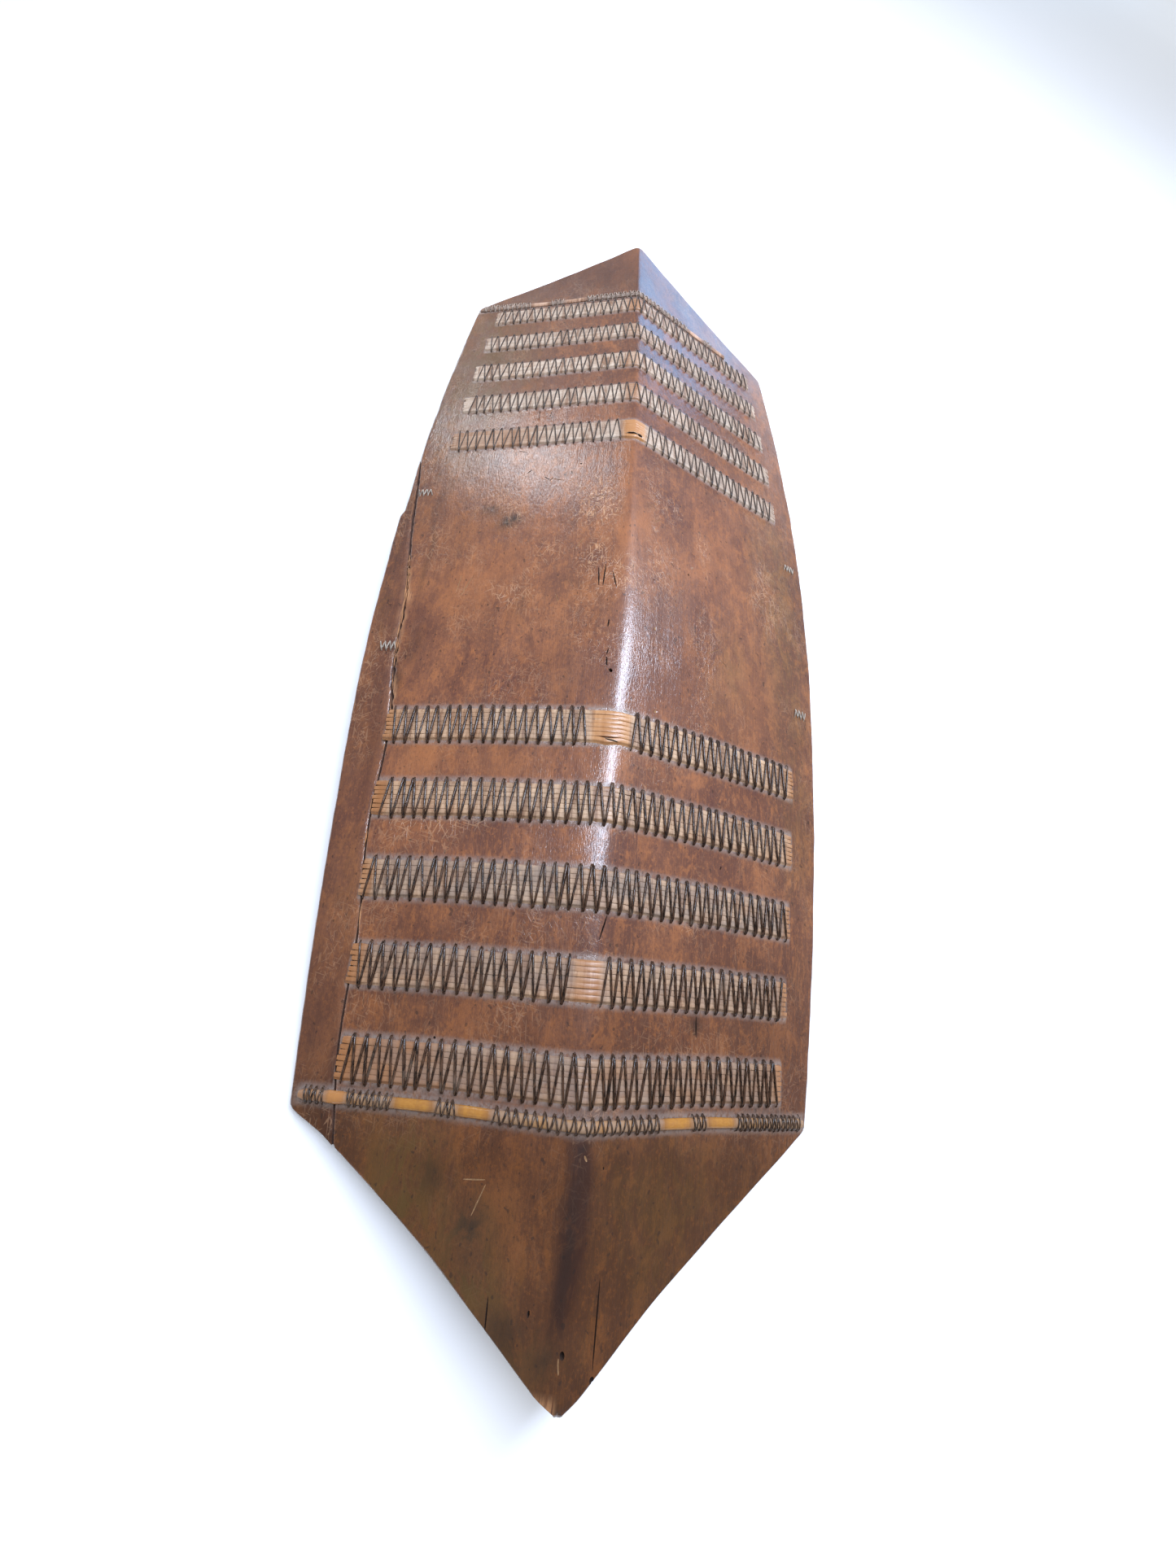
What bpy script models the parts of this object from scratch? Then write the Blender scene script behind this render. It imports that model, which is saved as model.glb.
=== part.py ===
# Carved wooden shield with a raised lengthwise ridge, split-cane bands and a grip cut from the same board.
# It lies on its back: X runs across it, +Y to its far point, +Z out of its face. Lengths are in metres.
# Sections are worked out from the middle of the ridge line; one empty then sets the shield on the ground.

import math

import bmesh
import bpy

# The board seen from the front
SHOULDER_SPAN = 0.891        # between the two lines where the pointed ends begin
NEAR_POINT = 0.1415          # how far the near point runs on past its shoulder line
FAR_POINT = 0.1275           # how far the far point runs on past its shoulder line
MIDDLE_WIDTH = 0.420         # across the flanks at mid length
SHOULDER_WIDTH = 0.380       # across the flanks at the shoulder lines
TIP_WIDTH = 0.006            # blunt width left at each tip
CHIP_LENGTH = 0.014          # chip out of the left side of the near tip
CHIP_DEPTH = 0.0022
POINT_HOLLOW = 0.12          # how strongly the edges of the points bend in
SHOULDER_EASE = 0.004        # softness of the shoulder corners

# The board in section
FLANK_SLOPE = 0.336          # fall of each flank for one metre of width
CREST_WIDTH = 0.008          # worn crest of the ridge, level across
BOW_DEPTH = 0.0352           # how far the ridge falls from mid length to the shoulder lines
BOW_REACH = 0.834            # distance from mid length at which the bow would run level again
RIDGE_THICKNESS = 0.012
EDGE_THICKNESS = 0.008
EDGE_ROUND = 0.0025

# The grip, left standing on the back when the board was hollowed
GRIP_LENGTH = 0.125
GRIP_WIDTH = 0.030
GRIP_THICKNESS = 0.022
FINGER_GAP = 0.034           # clear height between the grip and the board
GRIP_FOOT = 0.075            # length over which each end of the grip runs into the board
GRIP_FLARE = 0.45            # how much wider the feet are than the grip
GRIP_SINK = 0.004            # depth to which the feet reach into the board
GRIP_BEVEL = 0.004
GRIP_STEPS = 6

# The long split beside the left edge
STRIP_WIDTH = 0.028          # width of the split-off strip along its lower part
STRIP_STEP = 0.003           # how far the strip has moved outwards
STEP_PLACE = 0.068           # where the moved part of the strip begins, from mid length
SPLIT_TOP = 0.143            # where the split leaves the edge, from mid length
SPLIT_TAPER = 0.320          # length over which the strip narrows towards that end
SPLIT_WANDER = 0.0018        # sideways wander of the split along the grain
SPLIT_WAVE = 0.150
SPLIT_PEAK = -0.177
SPLIT_ROUND = 0.0006
STRIP_POINT = 0.0022         # least width of the strip at its thin end

# Wide bands of split cane, five towards each end
BANDS_EACH_END = 5
FIRST_BAND = 0.164           # middle of the innermost bands, from mid length
LAST_BAND = 0.0347           # middle of the outermost bands, back from the shoulder lines
BAND_WIDTH = 0.0278
BAND_THICKNESS = 0.0022
BAND_INSET = 0.028           # from the edge of the board to the end of a band
BAND_SAG = 0.003             # how much nearer its point a band lies at the ridge than at its ends
CANE_SPLINTS = 7             # strips of cane side by side in one band
SPLINT_RELIEF = 0.0006

# Dark lacing that holds the bands down
LACE_PITCH = 0.0087
LACE_THICKNESS = 0.0017
LACE_OVERHANG = 0.0022       # how far a loop reaches past the band
LACE_TIP = 0.0010            # half thickness of the lace at the end of a loop
LACE_MERGE = 0.0092          # how far from the end of a loop its two strokes part
LACE_INSET = 0.003           # from the end of a band to the last loop
BARE_LEFT = -0.018           # stretch at the ridge where bands have lost their lacing
BARE_RIGHT = 0.011
BARE_BANDS = (5, 6)
SHORT_BARE_LEFT = -0.0145
SHORT_BARE_RIGHT = 0.003
SHORT_BARE_BANDS = (9,)

# Single cane rods beside the shoulder lines, lashed down in runs
ROD_SETBACK = 0.0092         # from the shoulder lines to the rods
ROD_WIDTH = 0.0070
ROD_HEIGHT = 0.0048
ROD_SIDES = 8
ROD_INSET = 0.003
ROD_SAG = 0.0038
FAR_ROD_BREAK = 0.683        # where the far rod's right end has broken off, as a share of half its length
NEAR_ROD_SKEW = 0.0016       # how far each end of the near rod is turned out of square
LASH_PITCH = 0.0054
LASH_THICKNESS = 0.0013
LASH_OVERHANG = 0.0018
LASH_TIP = 0.0005
LASH_MERGE = 0.0036

# Bare stretches of the rods, as shares of half their length
FAR_BARE_SHARES = ((-0.668, -0.553), (-0.453, -0.323), (0.381, 0.496), (0.582, FAR_ROD_BREAK))
NEAR_BARE_SHARES = ((-0.898, -0.827), (-0.654, -0.51), (-0.424, -0.309), (0.309, 0.438), (0.51, 0.64))

# Four short stitches of thin cord near the side edges
STITCH_PLACE = 0.090         # from mid length
STITCH_INSET = 0.0085        # from the edge to the outer end of a stitch
STITCH_LENGTH = 0.016
STITCH_HEIGHT = 0.009
STITCH_PITCH = 0.0040
STITCH_THICKNESS = 0.0009
STITCH_MERGE = 0.0030

GAP = 0.0003                 # clearance between pieces that touch

HALF_SPAN = SHOULDER_SPAN / 2
HALF_CREST = CREST_WIDTH / 2
NEAR_END = -HALF_SPAN - NEAR_POINT
FAR_END = HALF_SPAN + FAR_POINT
BAND_PITCH = (HALF_SPAN - LAST_BAND - FIRST_BAND) / (BANDS_EACH_END - 1)
ROD_PLACE = HALF_SPAN - ROD_SETBACK
BAND_BEND = (BAND_SAG, 0)
FAR_ROD_BEND = (ROD_SAG, 0)
NEAR_ROD_BEND = (ROD_SAG, NEAR_ROD_SKEW)


def clear_scene():
    for item in list(bpy.data.objects):
        bpy.data.objects.remove(item, do_unlink=True)


def spread(first, last, count):
    return [first + (last - first) * i / (count - 1) for i in range(count)]


def side_half(y):
    # half width of the long, slightly bulging sides, carried on past the shoulder lines
    return MIDDLE_WIDTH / 2 - (MIDDLE_WIDTH - SHOULDER_WIDTH) / 2 * (y / HALF_SPAN) ** 2


def point_half(y):
    reach = NEAR_POINT if y < 0 else FAR_POINT
    share = (abs(y) - HALF_SPAN) / reach
    return SHOULDER_WIDTH / 2 * (1 - share) * (1 - POINT_HOLLOW * share)


def outline_half(y):
    side = side_half(y)
    point = point_half(y)
    blend = max(SHOULDER_EASE - abs(side - point), 0)
    return max(min(side, point) - blend ** 2 / (4 * SHOULDER_EASE), TIP_WIDTH / 2)


def strip_width(y):
    share = min(max((SPLIT_TOP - y) / SPLIT_TAPER, 0), 1)
    wander = SPLIT_WANDER * math.cos(math.tau * (y - SPLIT_PEAK) / SPLIT_WAVE)
    return (STRIP_WIDTH + wander) * (1 - (1 - share) ** 1.6)


def split_half(y):
    # distance from the ridge line to the split
    return side_half(y) - strip_width(y)


def bow(y):
    # fall of the ridge line, level at mid length and BOW_DEPTH deep at the shoulder lines
    drop = 1 - math.cos(math.pi * y / BOW_REACH)
    return BOW_DEPTH * drop / (1 - math.cos(math.pi * HALF_SPAN / BOW_REACH))


def front_z(x, y):
    return -bow(y) - FLANK_SLOPE * max(abs(x), HALF_CREST)


def back_z(x, y):
    # the back stays level under the strip where that has moved out past the old edge
    edge = outline_half(y)
    inner = min(abs(x), edge)
    share = inner / edge
    thickness = RIDGE_THICKNESS + (EDGE_THICKNESS - RIDGE_THICKNESS) * share
    return front_z(inner, y) - thickness


def board_left(y):
    chipped = CHIP_DEPTH * max(1 - (y - NEAR_END) / CHIP_LENGTH, 0)
    if y < SPLIT_TOP:
        return -min(outline_half(y) - chipped, split_half(y) - GAP)
    return -outline_half(y)


def split_exit():
    # where the split runs out through the edge of the near point
    low = NEAR_END
    high = -HALF_SPAN
    for _ in range(40):
        middle = (low + high) / 2
        if outline_half(middle) < split_half(middle):
            low = middle
        else:
            high = middle
    return high


def strip_start():
    # the strip ends where it has thinned to STRIP_POINT
    low = STEP_PLACE
    high = SPLIT_TOP
    for _ in range(40):
        middle = (low + high) / 2
        if strip_width(middle) > STRIP_POINT:
            low = middle
        else:
            high = middle
    return low


def strip_outer(y):
    # the moved part of the strip stands out from the old edge
    share = min(max((STEP_PLACE - y) / (2 * STRIP_STEP), 0), 1)
    return outline_half(y) + STRIP_STEP * share


def lofted(rings):
    # closed solid through rings that have equally many points
    bm = bmesh.new()
    loops = [[bm.verts.new(point) for point in ring] for ring in rings]
    count = len(loops[0])
    for lower, upper in zip(loops, loops[1:]):
        for i in range(count):
            j = (i + 1) % count
            bm.faces.new((lower[i], lower[j], upper[j], upper[i]))
    bm.faces.new(loops[0])
    bm.faces.new(loops[-1])
    bmesh.ops.recalc_face_normals(bm, faces=bm.faces)
    return bm


def add_object(name, bm, material, stand):
    mesh = bpy.data.meshes.new(name)
    bm.to_mesh(mesh)
    bm.free()
    mesh.materials.append(material)
    item = bpy.data.objects.new(name, mesh)
    item.parent = stand
    bpy.context.scene.collection.objects.link(item)
    return item


def make_material(name, color, roughness):
    material = bpy.data.materials.new(name)
    material.use_nodes = True
    shader = material.node_tree.nodes["Principled BSDF"]
    shader.inputs["Base Color"].default_value = (*color, 1)
    shader.inputs["Roughness"].default_value = roughness
    shader.inputs["Metallic"].default_value = 0
    return material


def section(y, left, right, left_round, right_round):
    # one slice across the board, from its left side over the front and back along the underside
    crest = min(HALF_CREST, right * 0.4, -left * 0.4)
    left_round = min(left_round, -left * 0.4)
    right_round = min(right_round, right * 0.4)
    front = [left + left_round, -crest, crest, right - right_round]
    points = [(left, y, front_z(left, y) - left_round)]
    points += [(x, y, front_z(x, y)) for x in front]
    points += [(right, y, front_z(right, y) - right_round)]
    points += [(right, y, back_z(right, y) + right_round)]
    points += [(x, y, back_z(x, y)) for x in reversed(front)]
    points += [(left, y, back_z(left, y) + left_round)]
    return points


def slice_places():
    # slices are closest together around the shoulders, where the outline turns
    places = spread(NEAR_END, -HALF_SPAN - 5 * SHOULDER_EASE, 5) + [NEAR_END + CHIP_LENGTH]
    places += [-HALF_SPAN + SHOULDER_EASE * step for step in (-2, -0.5, 1)]
    places += spread(3 * SHOULDER_EASE - HALF_SPAN, HALF_SPAN - 3 * SHOULDER_EASE, 25)
    places += [HALF_SPAN + SHOULDER_EASE * step for step in (-1, 0.5, 2)]
    places += spread(HALF_SPAN + 5 * SHOULDER_EASE, FAR_END, 5)
    places += [split_exit(), strip_start(), SPLIT_TOP, STEP_PLACE, STEP_PLACE - 2 * STRIP_STEP]
    return sorted(set(places))


def make_board(material, stand):
    rings = []
    for y in slice_places():
        on_split = split_exit() <= y <= SPLIT_TOP
        left_round = SPLIT_ROUND if on_split else EDGE_ROUND
        rings.append(section(y, board_left(y), outline_half(y), left_round, EDGE_ROUND))
    return add_object("board", lofted(rings), material, stand)


def make_strip(material, stand):
    rings = []
    for y in slice_places():
        if not split_exit() <= y <= strip_start():
            continue
        left = -strip_outer(y)
        right = -split_half(y)
        if y == split_exit():
            right = min(right, left + STRIP_STEP)
        rounding = min(EDGE_ROUND, (right - left) * 0.3)
        top = [(left + rounding, y, front_z(left + rounding, y)), (right, y, front_z(right, y))]
        under = [(right, y, back_z(right, y)), (left + rounding, y, back_z(left + rounding, y))]
        side_low = (left, y, back_z(left, y) + rounding)
        side_high = (left, y, front_z(left, y) - rounding)
        rings.append(top + under + [side_low, side_high])
    return add_object("split_edge_strip", lofted(rings), material, stand)


def valley_z(y):
    return back_z(0, y)


def grip_depth(y):
    # how far the underside of the grip stands below the board, easing out along its feet
    past = min(max((abs(y) - GRIP_LENGTH / 2) / GRIP_FOOT, 0), 1)
    return (FINGER_GAP + GRIP_THICKNESS) * (1 + math.cos(math.pi * past)) / 2


def make_grip(board, stand):
    half = GRIP_LENGTH / 2
    end = half + GRIP_FOOT
    bar_top = valley_z(0) - FINGER_GAP
    bar_under = bar_top - GRIP_THICKNESS
    corner = FINGER_GAP / 3

    def under_point(y):
        # a foot rises from the flat of the bar to the board
        risen = 1 - grip_depth(y) / grip_depth(0)
        return y, bar_under + (valley_z(end) - bar_under) * risen

    profile = [(-end, valley_z(end) + GRIP_SINK)]
    profile += [under_point(y) for y in spread(-end, -half, GRIP_STEPS)]
    profile += [under_point(y) for y in spread(half, end, GRIP_STEPS)]
    profile += [(end, valley_z(end) + GRIP_SINK)]
    profile += [(half, valley_z(half) + GRIP_SINK)]
    profile += [(half, bar_top + corner), (half - corner, bar_top)]
    profile += [(-half + corner, bar_top), (-half, bar_top + corner)]
    profile += [(-half, valley_z(half) + GRIP_SINK)]

    def is_rim(edge):
        # the long edges of the bar and of its feet, outside the board
        first, second = (vert.co for vert in edge.verts)
        highest = max(first.z - valley_z(first.y), second.z - valley_z(second.y))
        return first.x * second.x > 0 and highest < GRIP_SINK / 2

    bm = bmesh.new()
    outline = bm.faces.new([bm.verts.new((-GRIP_WIDTH / 2, y, z)) for y, z in profile])
    extruded = bmesh.ops.extrude_face_region(bm, geom=[outline])["geom"]
    moved = [part for part in extruded if isinstance(part, bmesh.types.BMVert)]
    bmesh.ops.translate(bm, verts=moved, vec=(GRIP_WIDTH, 0, 0))
    bmesh.ops.recalc_face_normals(bm, faces=bm.faces)
    rims = [edge for edge in bm.edges if is_rim(edge)]
    bmesh.ops.bevel(bm, geom=rims, offset=GRIP_BEVEL, offset_type="OFFSET", segments=1, profile=0.5,
                    affect="EDGES", material=-1)
    bmesh.ops.triangulate(bm, faces=bm.faces)
    for vert in bm.verts:
        past = min(max((abs(vert.co.y) - half) / GRIP_FOOT, 0), 1)
        vert.co.x *= 1 + GRIP_FLARE * past
    grip = add_object("grip_blank", bm, board.data.materials[0], stand)
    grip.hide_render = True
    grip.display_type = "WIRE"
    union = board.modifiers.new("grip", "BOOLEAN")
    union.operation = "UNION"
    union.solver = "EXACT"
    union.object = grip


def course(middle, bend, x):
    # middle line of a band or rod, which bends a little towards the point as it crosses the ridge
    sag, skew = bend
    share = x / outline_half(middle)
    return middle + math.copysign(sag * (0.5 - abs(share)), middle) - skew * share


def make_band(name, middle, material, stand):
    half = outline_half(middle) - BAND_INSET
    crown = GAP + BAND_THICKNESS
    valley = crown - SPLINT_RELIEF
    tops = [(BAND_WIDTH / 2, valley)]
    for i in range(CANE_SPLINTS):
        tops.append((BAND_WIDTH / 2 - BAND_WIDTH * (i + 0.5) / CANE_SPLINTS, crown))
        tops.append((BAND_WIDTH / 2 - BAND_WIDTH * (i + 1) / CANE_SPLINTS, valley))
    profile = [(-BAND_WIDTH / 2, GAP), (BAND_WIDTH / 2, GAP)] + tops
    rings = []
    for x in (-half, -HALF_CREST, HALF_CREST, half):
        places = [(course(middle, BAND_BEND, x) + across, lift) for across, lift in profile]
        rings.append([(x, y, front_z(x, y) + lift) for y, lift in places])
    return add_object(name, lofted(rings), material, stand)


def make_zigzag(name, middle, bend, reach, start, stop, lift, cord, material, stand):
    # a lace that runs to and fro across a band: one ring of three points stands at each turn
    pitch, height, tip, merge = cord
    rings = []
    for turn in range(math.ceil(2 * start / pitch), math.floor(2 * stop / pitch) + 1):
        x = turn * pitch / 2
        side = 1 if turn % 2 == 0 else -1
        end = course(middle, bend, x) + side * reach
        ends = sorted((end + side * tip, end - side * merge))
        ring = [(x, y, front_z(x, y) + lift) for y in ends]
        rings.append(ring + [(x, end, front_z(x, end) + lift + height)])
    return add_object(name, lofted(rings), material, stand)


def make_lacing(number, middle, material, stand):
    half = outline_half(middle) - BAND_INSET - LACE_INSET
    runs = {"": (-half, half)}
    if number in BARE_BANDS:
        runs = {"_left": (-half, BARE_LEFT), "_right": (BARE_RIGHT, half)}
    if number in SHORT_BARE_BANDS:
        runs = {"_left": (-half, SHORT_BARE_LEFT), "_right": (SHORT_BARE_RIGHT, half)}
    reach = BAND_WIDTH / 2 + LACE_OVERHANG
    cord = (LACE_PITCH, LACE_THICKNESS, LACE_TIP, LACE_MERGE)
    for side, (start, stop) in runs.items():
        make_zigzag(f"lacing_{number:02d}{side}", middle, BAND_BEND, reach, start, stop,
                    2 * GAP + BAND_THICKNESS, cord, material, stand)


def make_rod(name, middle, bend, right_share, material, stand):
    half = outline_half(middle) - ROD_INSET
    rings = []
    for x in (-half, -HALF_CREST, HALF_CREST, half * right_share):
        ring = []
        for i in range(ROD_SIDES):
            turn = math.tau * (i + 0.5) / ROD_SIDES
            y = course(middle, bend, x) + ROD_WIDTH / 2 * math.cos(turn)
            ring.append((x, y, front_z(x, y) + GAP + ROD_HEIGHT / 2 * (1 + math.sin(turn))))
        rings.append(ring)
    return add_object(name, lofted(rings), material, stand)


def make_lashing(name, middle, bend, right_share, bare_runs, material, stand):
    # the lashing runs between the bare stretches, with none left past the broken end of a rod
    rod_half = outline_half(middle) - ROD_INSET
    starts = [LASH_PITCH / 2 - rod_half] + [bare[1] * rod_half for bare in bare_runs]
    stops = [bare[0] * rod_half for bare in bare_runs] + [right_share * rod_half - LASH_PITCH / 2]
    cord = (LASH_PITCH, LASH_THICKNESS, LASH_TIP, LASH_MERGE)
    for number, (start, stop) in enumerate(zip(starts, stops), start=1):
        if stop < start:
            break
        make_zigzag(f"{name}_{number}", middle, bend, ROD_WIDTH / 2 + LASH_OVERHANG, start, stop,
                    2 * GAP + ROD_HEIGHT, cord, material, stand)


def make_stitches(material, stand):
    cord = (STITCH_PITCH, STITCH_THICKNESS, STITCH_THICKNESS / 2, STITCH_MERGE)
    for side_name, side in (("left", -1), ("right", 1)):
        for place_name, middle in (("far", STITCH_PLACE), ("near", -STITCH_PLACE)):
            outer = outline_half(middle) - STITCH_INSET
            start, stop = sorted((side * outer, side * (outer - STITCH_LENGTH)))
            name = f"side_stitch_{side_name}_{place_name}"
            make_zigzag(name, middle, (0, 0), STITCH_HEIGHT / 2, start, stop, GAP, cord, material, stand)


def make_stand():
    # the shield lies on its shoulder corners, and its outline is centred on the origin
    lowest = min(back_z(outline_half(y), y) for y in slice_places())
    stand = bpy.data.objects.new("shield_stand", None)
    stand.location = (STRIP_STEP / 2, (NEAR_POINT - FAR_POINT) / 2, -lowest)
    bpy.context.scene.collection.objects.link(stand)
    return stand


def main():
    clear_scene()
    wood = make_material("carved_wood", (0.19, 0.075, 0.035), 0.38)
    pale_wood = make_material("split_wood", (0.16, 0.065, 0.035), 0.42)
    cane = make_material("split_cane", (0.50, 0.27, 0.12), 0.45)
    rod = make_material("cane_rod", (0.55, 0.30, 0.07), 0.35)
    lace = make_material("dark_lacing", (0.045, 0.028, 0.020), 0.45)
    stand = make_stand()
    board = make_board(wood, stand)
    make_grip(board, stand)
    make_strip(pale_wood, stand)
    for number in range(1, 2 * BANDS_EACH_END + 1):
        from_middle = BANDS_EACH_END - number if number <= BANDS_EACH_END else number - BANDS_EACH_END - 1
        middle = FIRST_BAND + BAND_PITCH * from_middle
        if number > BANDS_EACH_END:
            middle = -middle
        make_band(f"cane_band_{number:02d}", middle, cane, stand)
        make_lacing(number, middle, lace, stand)
    make_rod("far_cane_rod", ROD_PLACE, FAR_ROD_BEND, FAR_ROD_BREAK, rod, stand)
    make_rod("near_cane_rod", -ROD_PLACE, NEAR_ROD_BEND, 1, rod, stand)
    make_lashing("far_rod_lashing", ROD_PLACE, FAR_ROD_BEND, FAR_ROD_BREAK, FAR_BARE_SHARES, lace, stand)
    make_lashing("near_rod_lashing", -ROD_PLACE, NEAR_ROD_BEND, 1, NEAR_BARE_SHARES, lace, stand)
    make_stitches(lace, stand)


main()
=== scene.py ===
import math
import random

import bmesh
import bpy
from mathutils import Matrix, Vector, noise


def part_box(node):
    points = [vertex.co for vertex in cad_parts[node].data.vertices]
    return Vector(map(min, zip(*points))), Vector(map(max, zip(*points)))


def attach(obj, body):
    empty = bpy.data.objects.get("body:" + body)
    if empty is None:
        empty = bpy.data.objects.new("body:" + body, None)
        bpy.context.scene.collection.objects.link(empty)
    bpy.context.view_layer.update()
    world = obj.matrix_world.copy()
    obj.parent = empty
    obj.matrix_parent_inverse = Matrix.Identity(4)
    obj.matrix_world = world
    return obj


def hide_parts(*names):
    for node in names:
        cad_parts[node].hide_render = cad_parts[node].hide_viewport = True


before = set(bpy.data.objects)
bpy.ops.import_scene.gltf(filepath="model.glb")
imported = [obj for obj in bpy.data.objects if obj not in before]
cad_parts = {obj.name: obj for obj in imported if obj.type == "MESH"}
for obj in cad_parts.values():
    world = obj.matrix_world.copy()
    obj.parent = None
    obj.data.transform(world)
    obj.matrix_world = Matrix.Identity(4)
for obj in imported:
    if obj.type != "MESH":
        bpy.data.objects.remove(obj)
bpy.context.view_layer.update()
print("frame loaded")

# the face of the shield, worked out from the middle of the ridge line as in the solids (metres)
shield = dict(
    shoulderSpan=0.891, nearPoint=0.1415, farPoint=0.1275,
    middleWidth=0.420, shoulderWidth=0.380, pointHollow=0.12, shoulderEase=0.004,
    tipWidth=0.006, tipRound=0.005, chipLength=0.014, chipDepth=0.0022,
    flankSlope=0.336, crest=0.004, nearCrest=0.0078, farCrest=0.0022, bowDepth=0.0352, bowReach=0.834,
    ridgeThickness=0.012, edgeThickness=0.008, edgeRound=0.0025,
    crestFrom=-0.10, crestTo=0.14, pointFrom=-0.44, pointTo=-0.36,  # where the ridge changes its roundness
    faceBroad=0.00045, faceFine=0.00022, edgeBroad=0.0005, edgeFine=0.00025,  # how uneven the wood is
    lean=0.0024, blunt=0.0030, rightBulge=0.0016, leftBulge=0.0014,
)
halfSpan = shield["shoulderSpan"] / 2
nearEnd = -halfSpan - shield["nearPoint"]
farEnd = halfSpan + shield["farPoint"]
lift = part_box("board")[1].z + shield["flankSlope"] * shield["crest"]
place = Vector((0.0015, 0.007, lift))  # where the middle of the ridge line stands in the frame


def clamp(value, low=0.0, high=1.0):
    return min(max(value, low), high)


def ease(low, high, value):
    share = clamp((value - low) / (high - low))
    return share * share * (3 - 2 * share)


def wobble(x, y, z=0.0):
    # smooth noise between about -1 and 1
    return noise.noise(Vector((x, y, z))) * 1.6


def hump(value, middle, reach):
    return math.exp(-((value - middle) / reach) ** 2)


def sideHalf(y):
    narrowing = (shield["middleWidth"] - shield["shoulderWidth"]) * (y / halfSpan) ** 2
    return (shield["middleWidth"] - narrowing) / 2


def pointHalf(y):
    share = (abs(y) - halfSpan) / (shield["nearPoint"] if y < 0 else shield["farPoint"])
    return shield["shoulderWidth"] / 2 * (1 - share) * (1 - shield["pointHollow"] * share)


def outlineHalf(y):
    side, point, soft = sideHalf(y), pointHalf(y), shield["shoulderEase"]
    blend = max(soft - abs(side - point), 0)
    return max(min(side, point) - blend ** 2 / (4 * soft), shield["tipWidth"] / 2)


def bow(y):
    drop = 1 - math.cos(math.pi * y / shield["bowReach"])
    return shield["bowDepth"] * drop / (1 - math.cos(math.pi * halfSpan / shield["bowReach"]))


def frontZ(x, y):
    # the ridge is worn round, less so in the far half, and the flanks fall away straight from it
    sharper = ease(shield["crestFrom"], shield["crestTo"], y)
    crest = shield["nearCrest"] - (shield["nearCrest"] - shield["farCrest"]) * sharper
    crest -= (shield["nearCrest"] - shield["crest"]) * (1 - ease(shield["pointFrom"], shield["pointTo"], y))
    return -bow(y) - shield["flankSlope"] * (math.hypot(x, crest) - 0.5 * (crest - shield["crest"]))


def backZ(x, y):
    edge = outlineHalf(y)
    inner = min(abs(x), edge)
    thinning = (shield["edgeThickness"] - shield["ridgeThickness"]) * inner / edge
    return frontZ(inner, y) - (shield["ridgeThickness"] + thinning)


def faceZ(x, y):
    # hand-cut and rubbed down: the face is never quite even
    broad, fine = wobble(x * 9, y * 5), wobble(x * 42, y * 14, 5)
    return frontZ(x, y) + (shield["faceBroad"] * broad + shield["faceFine"] * fine)


# the long split beside the left edge
split = dict(
    top=0.143, taper=0.320, width=0.028, wander=0.0018, wave=0.150, peak=-0.177, gap=0.0008,
    moved=0.003, movedFrom=0.068, rawFrom=-0.165, rawTo=0.125, tornFine=0.0007, tornBroad=0.0010,
)
paleFibres = ((-0.05, 0.04, 1.0), (-0.135, 0.035, 0.8), (-0.28, 0.04, 0.6))  # middle, reach and strength


def stripWidth(y):
    share = clamp((split["top"] - y) / split["taper"])
    wander = split["wander"] * math.cos(math.tau * (y - split["peak"]) / split["wave"])
    return (split["width"] + wander) * (1 - (1 - share) ** 1.6)


def splitHalf(y):
    return sideHalf(y) - stripWidth(y)


def rawShare(y):
    # how torn the split is: most where the wood pulled apart, little along its straight lower part
    started = ease(split["rawFrom"] - 0.03, split["rawFrom"] + 0.02, y)
    return started * (1 - ease(split["rawTo"] - 0.03, split["rawTo"], y))


def rawFibre(y):
    # where the torn wood of the split shows pale
    return clamp(sum((strength * hump(y, middle, reach) for middle, reach, strength in paleFibres), 0.12))


def tear(y, seed):
    # ragged edge of the split
    fine = abs(wobble(y * 260, seed)) * split["tornFine"] + abs(wobble(y * 90, seed + 7)) * split["tornBroad"]
    return 0.0002 + fine * (0.25 + rawShare(y))


def edgeWear(y, side):
    # how far the rubbed outer edge strays from the true outline
    return shield["edgeBroad"] * wobble(y * 14, side) + shield["edgeFine"] * wobble(y * 60, side + 1)


def edgeHalf(y, side):
    # the true outline, with the lean and the blunt tip of the near point and the uneven sides
    past = clamp((-halfSpan - y) / shield["nearPoint"])
    lean = side * shield["lean"] * ease(0, 0.12, past) * (1 - ease(0.45, 0.7, past))
    blunt = shield["blunt"] * ease(0.6, 0.95, past)
    if side > 0:
        started = ease(-halfSpan - 0.02, -halfSpan + 0.02, y)
        bulge = shield["rightBulge"] * started * (1 - ease(-0.25, -0.12, y))
    else:
        bulge = shield["leftBulge"] * hump(y, -0.10, 0.07)
    return outlineHalf(y) + lean + blunt + bulge


def boardLeft(y):
    chipped = shield["chipDepth"] * max(1 - (y - nearEnd) / shield["chipLength"], 0)
    edge = edgeHalf(y, -1) - chipped
    if y < split["top"]:
        return min(edge, splitHalf(y) - split["gap"] - tear(y, 3))
    return edge


# where the bands and rods lie, how far they sag towards the ridge, and how far each one's place reaches
layout = dict(
    farBands=5, firstBand=0.164, bandStep=0.0617, bandSag=0.003, bandInset=0.028, bandReach=0.0139,
    rodMiddle=0.4363, rodSag=0.0038, rodInset=0.003, rodReach=0.0035, nearSkew=0.0016, farBreak=0.683,
)


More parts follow.
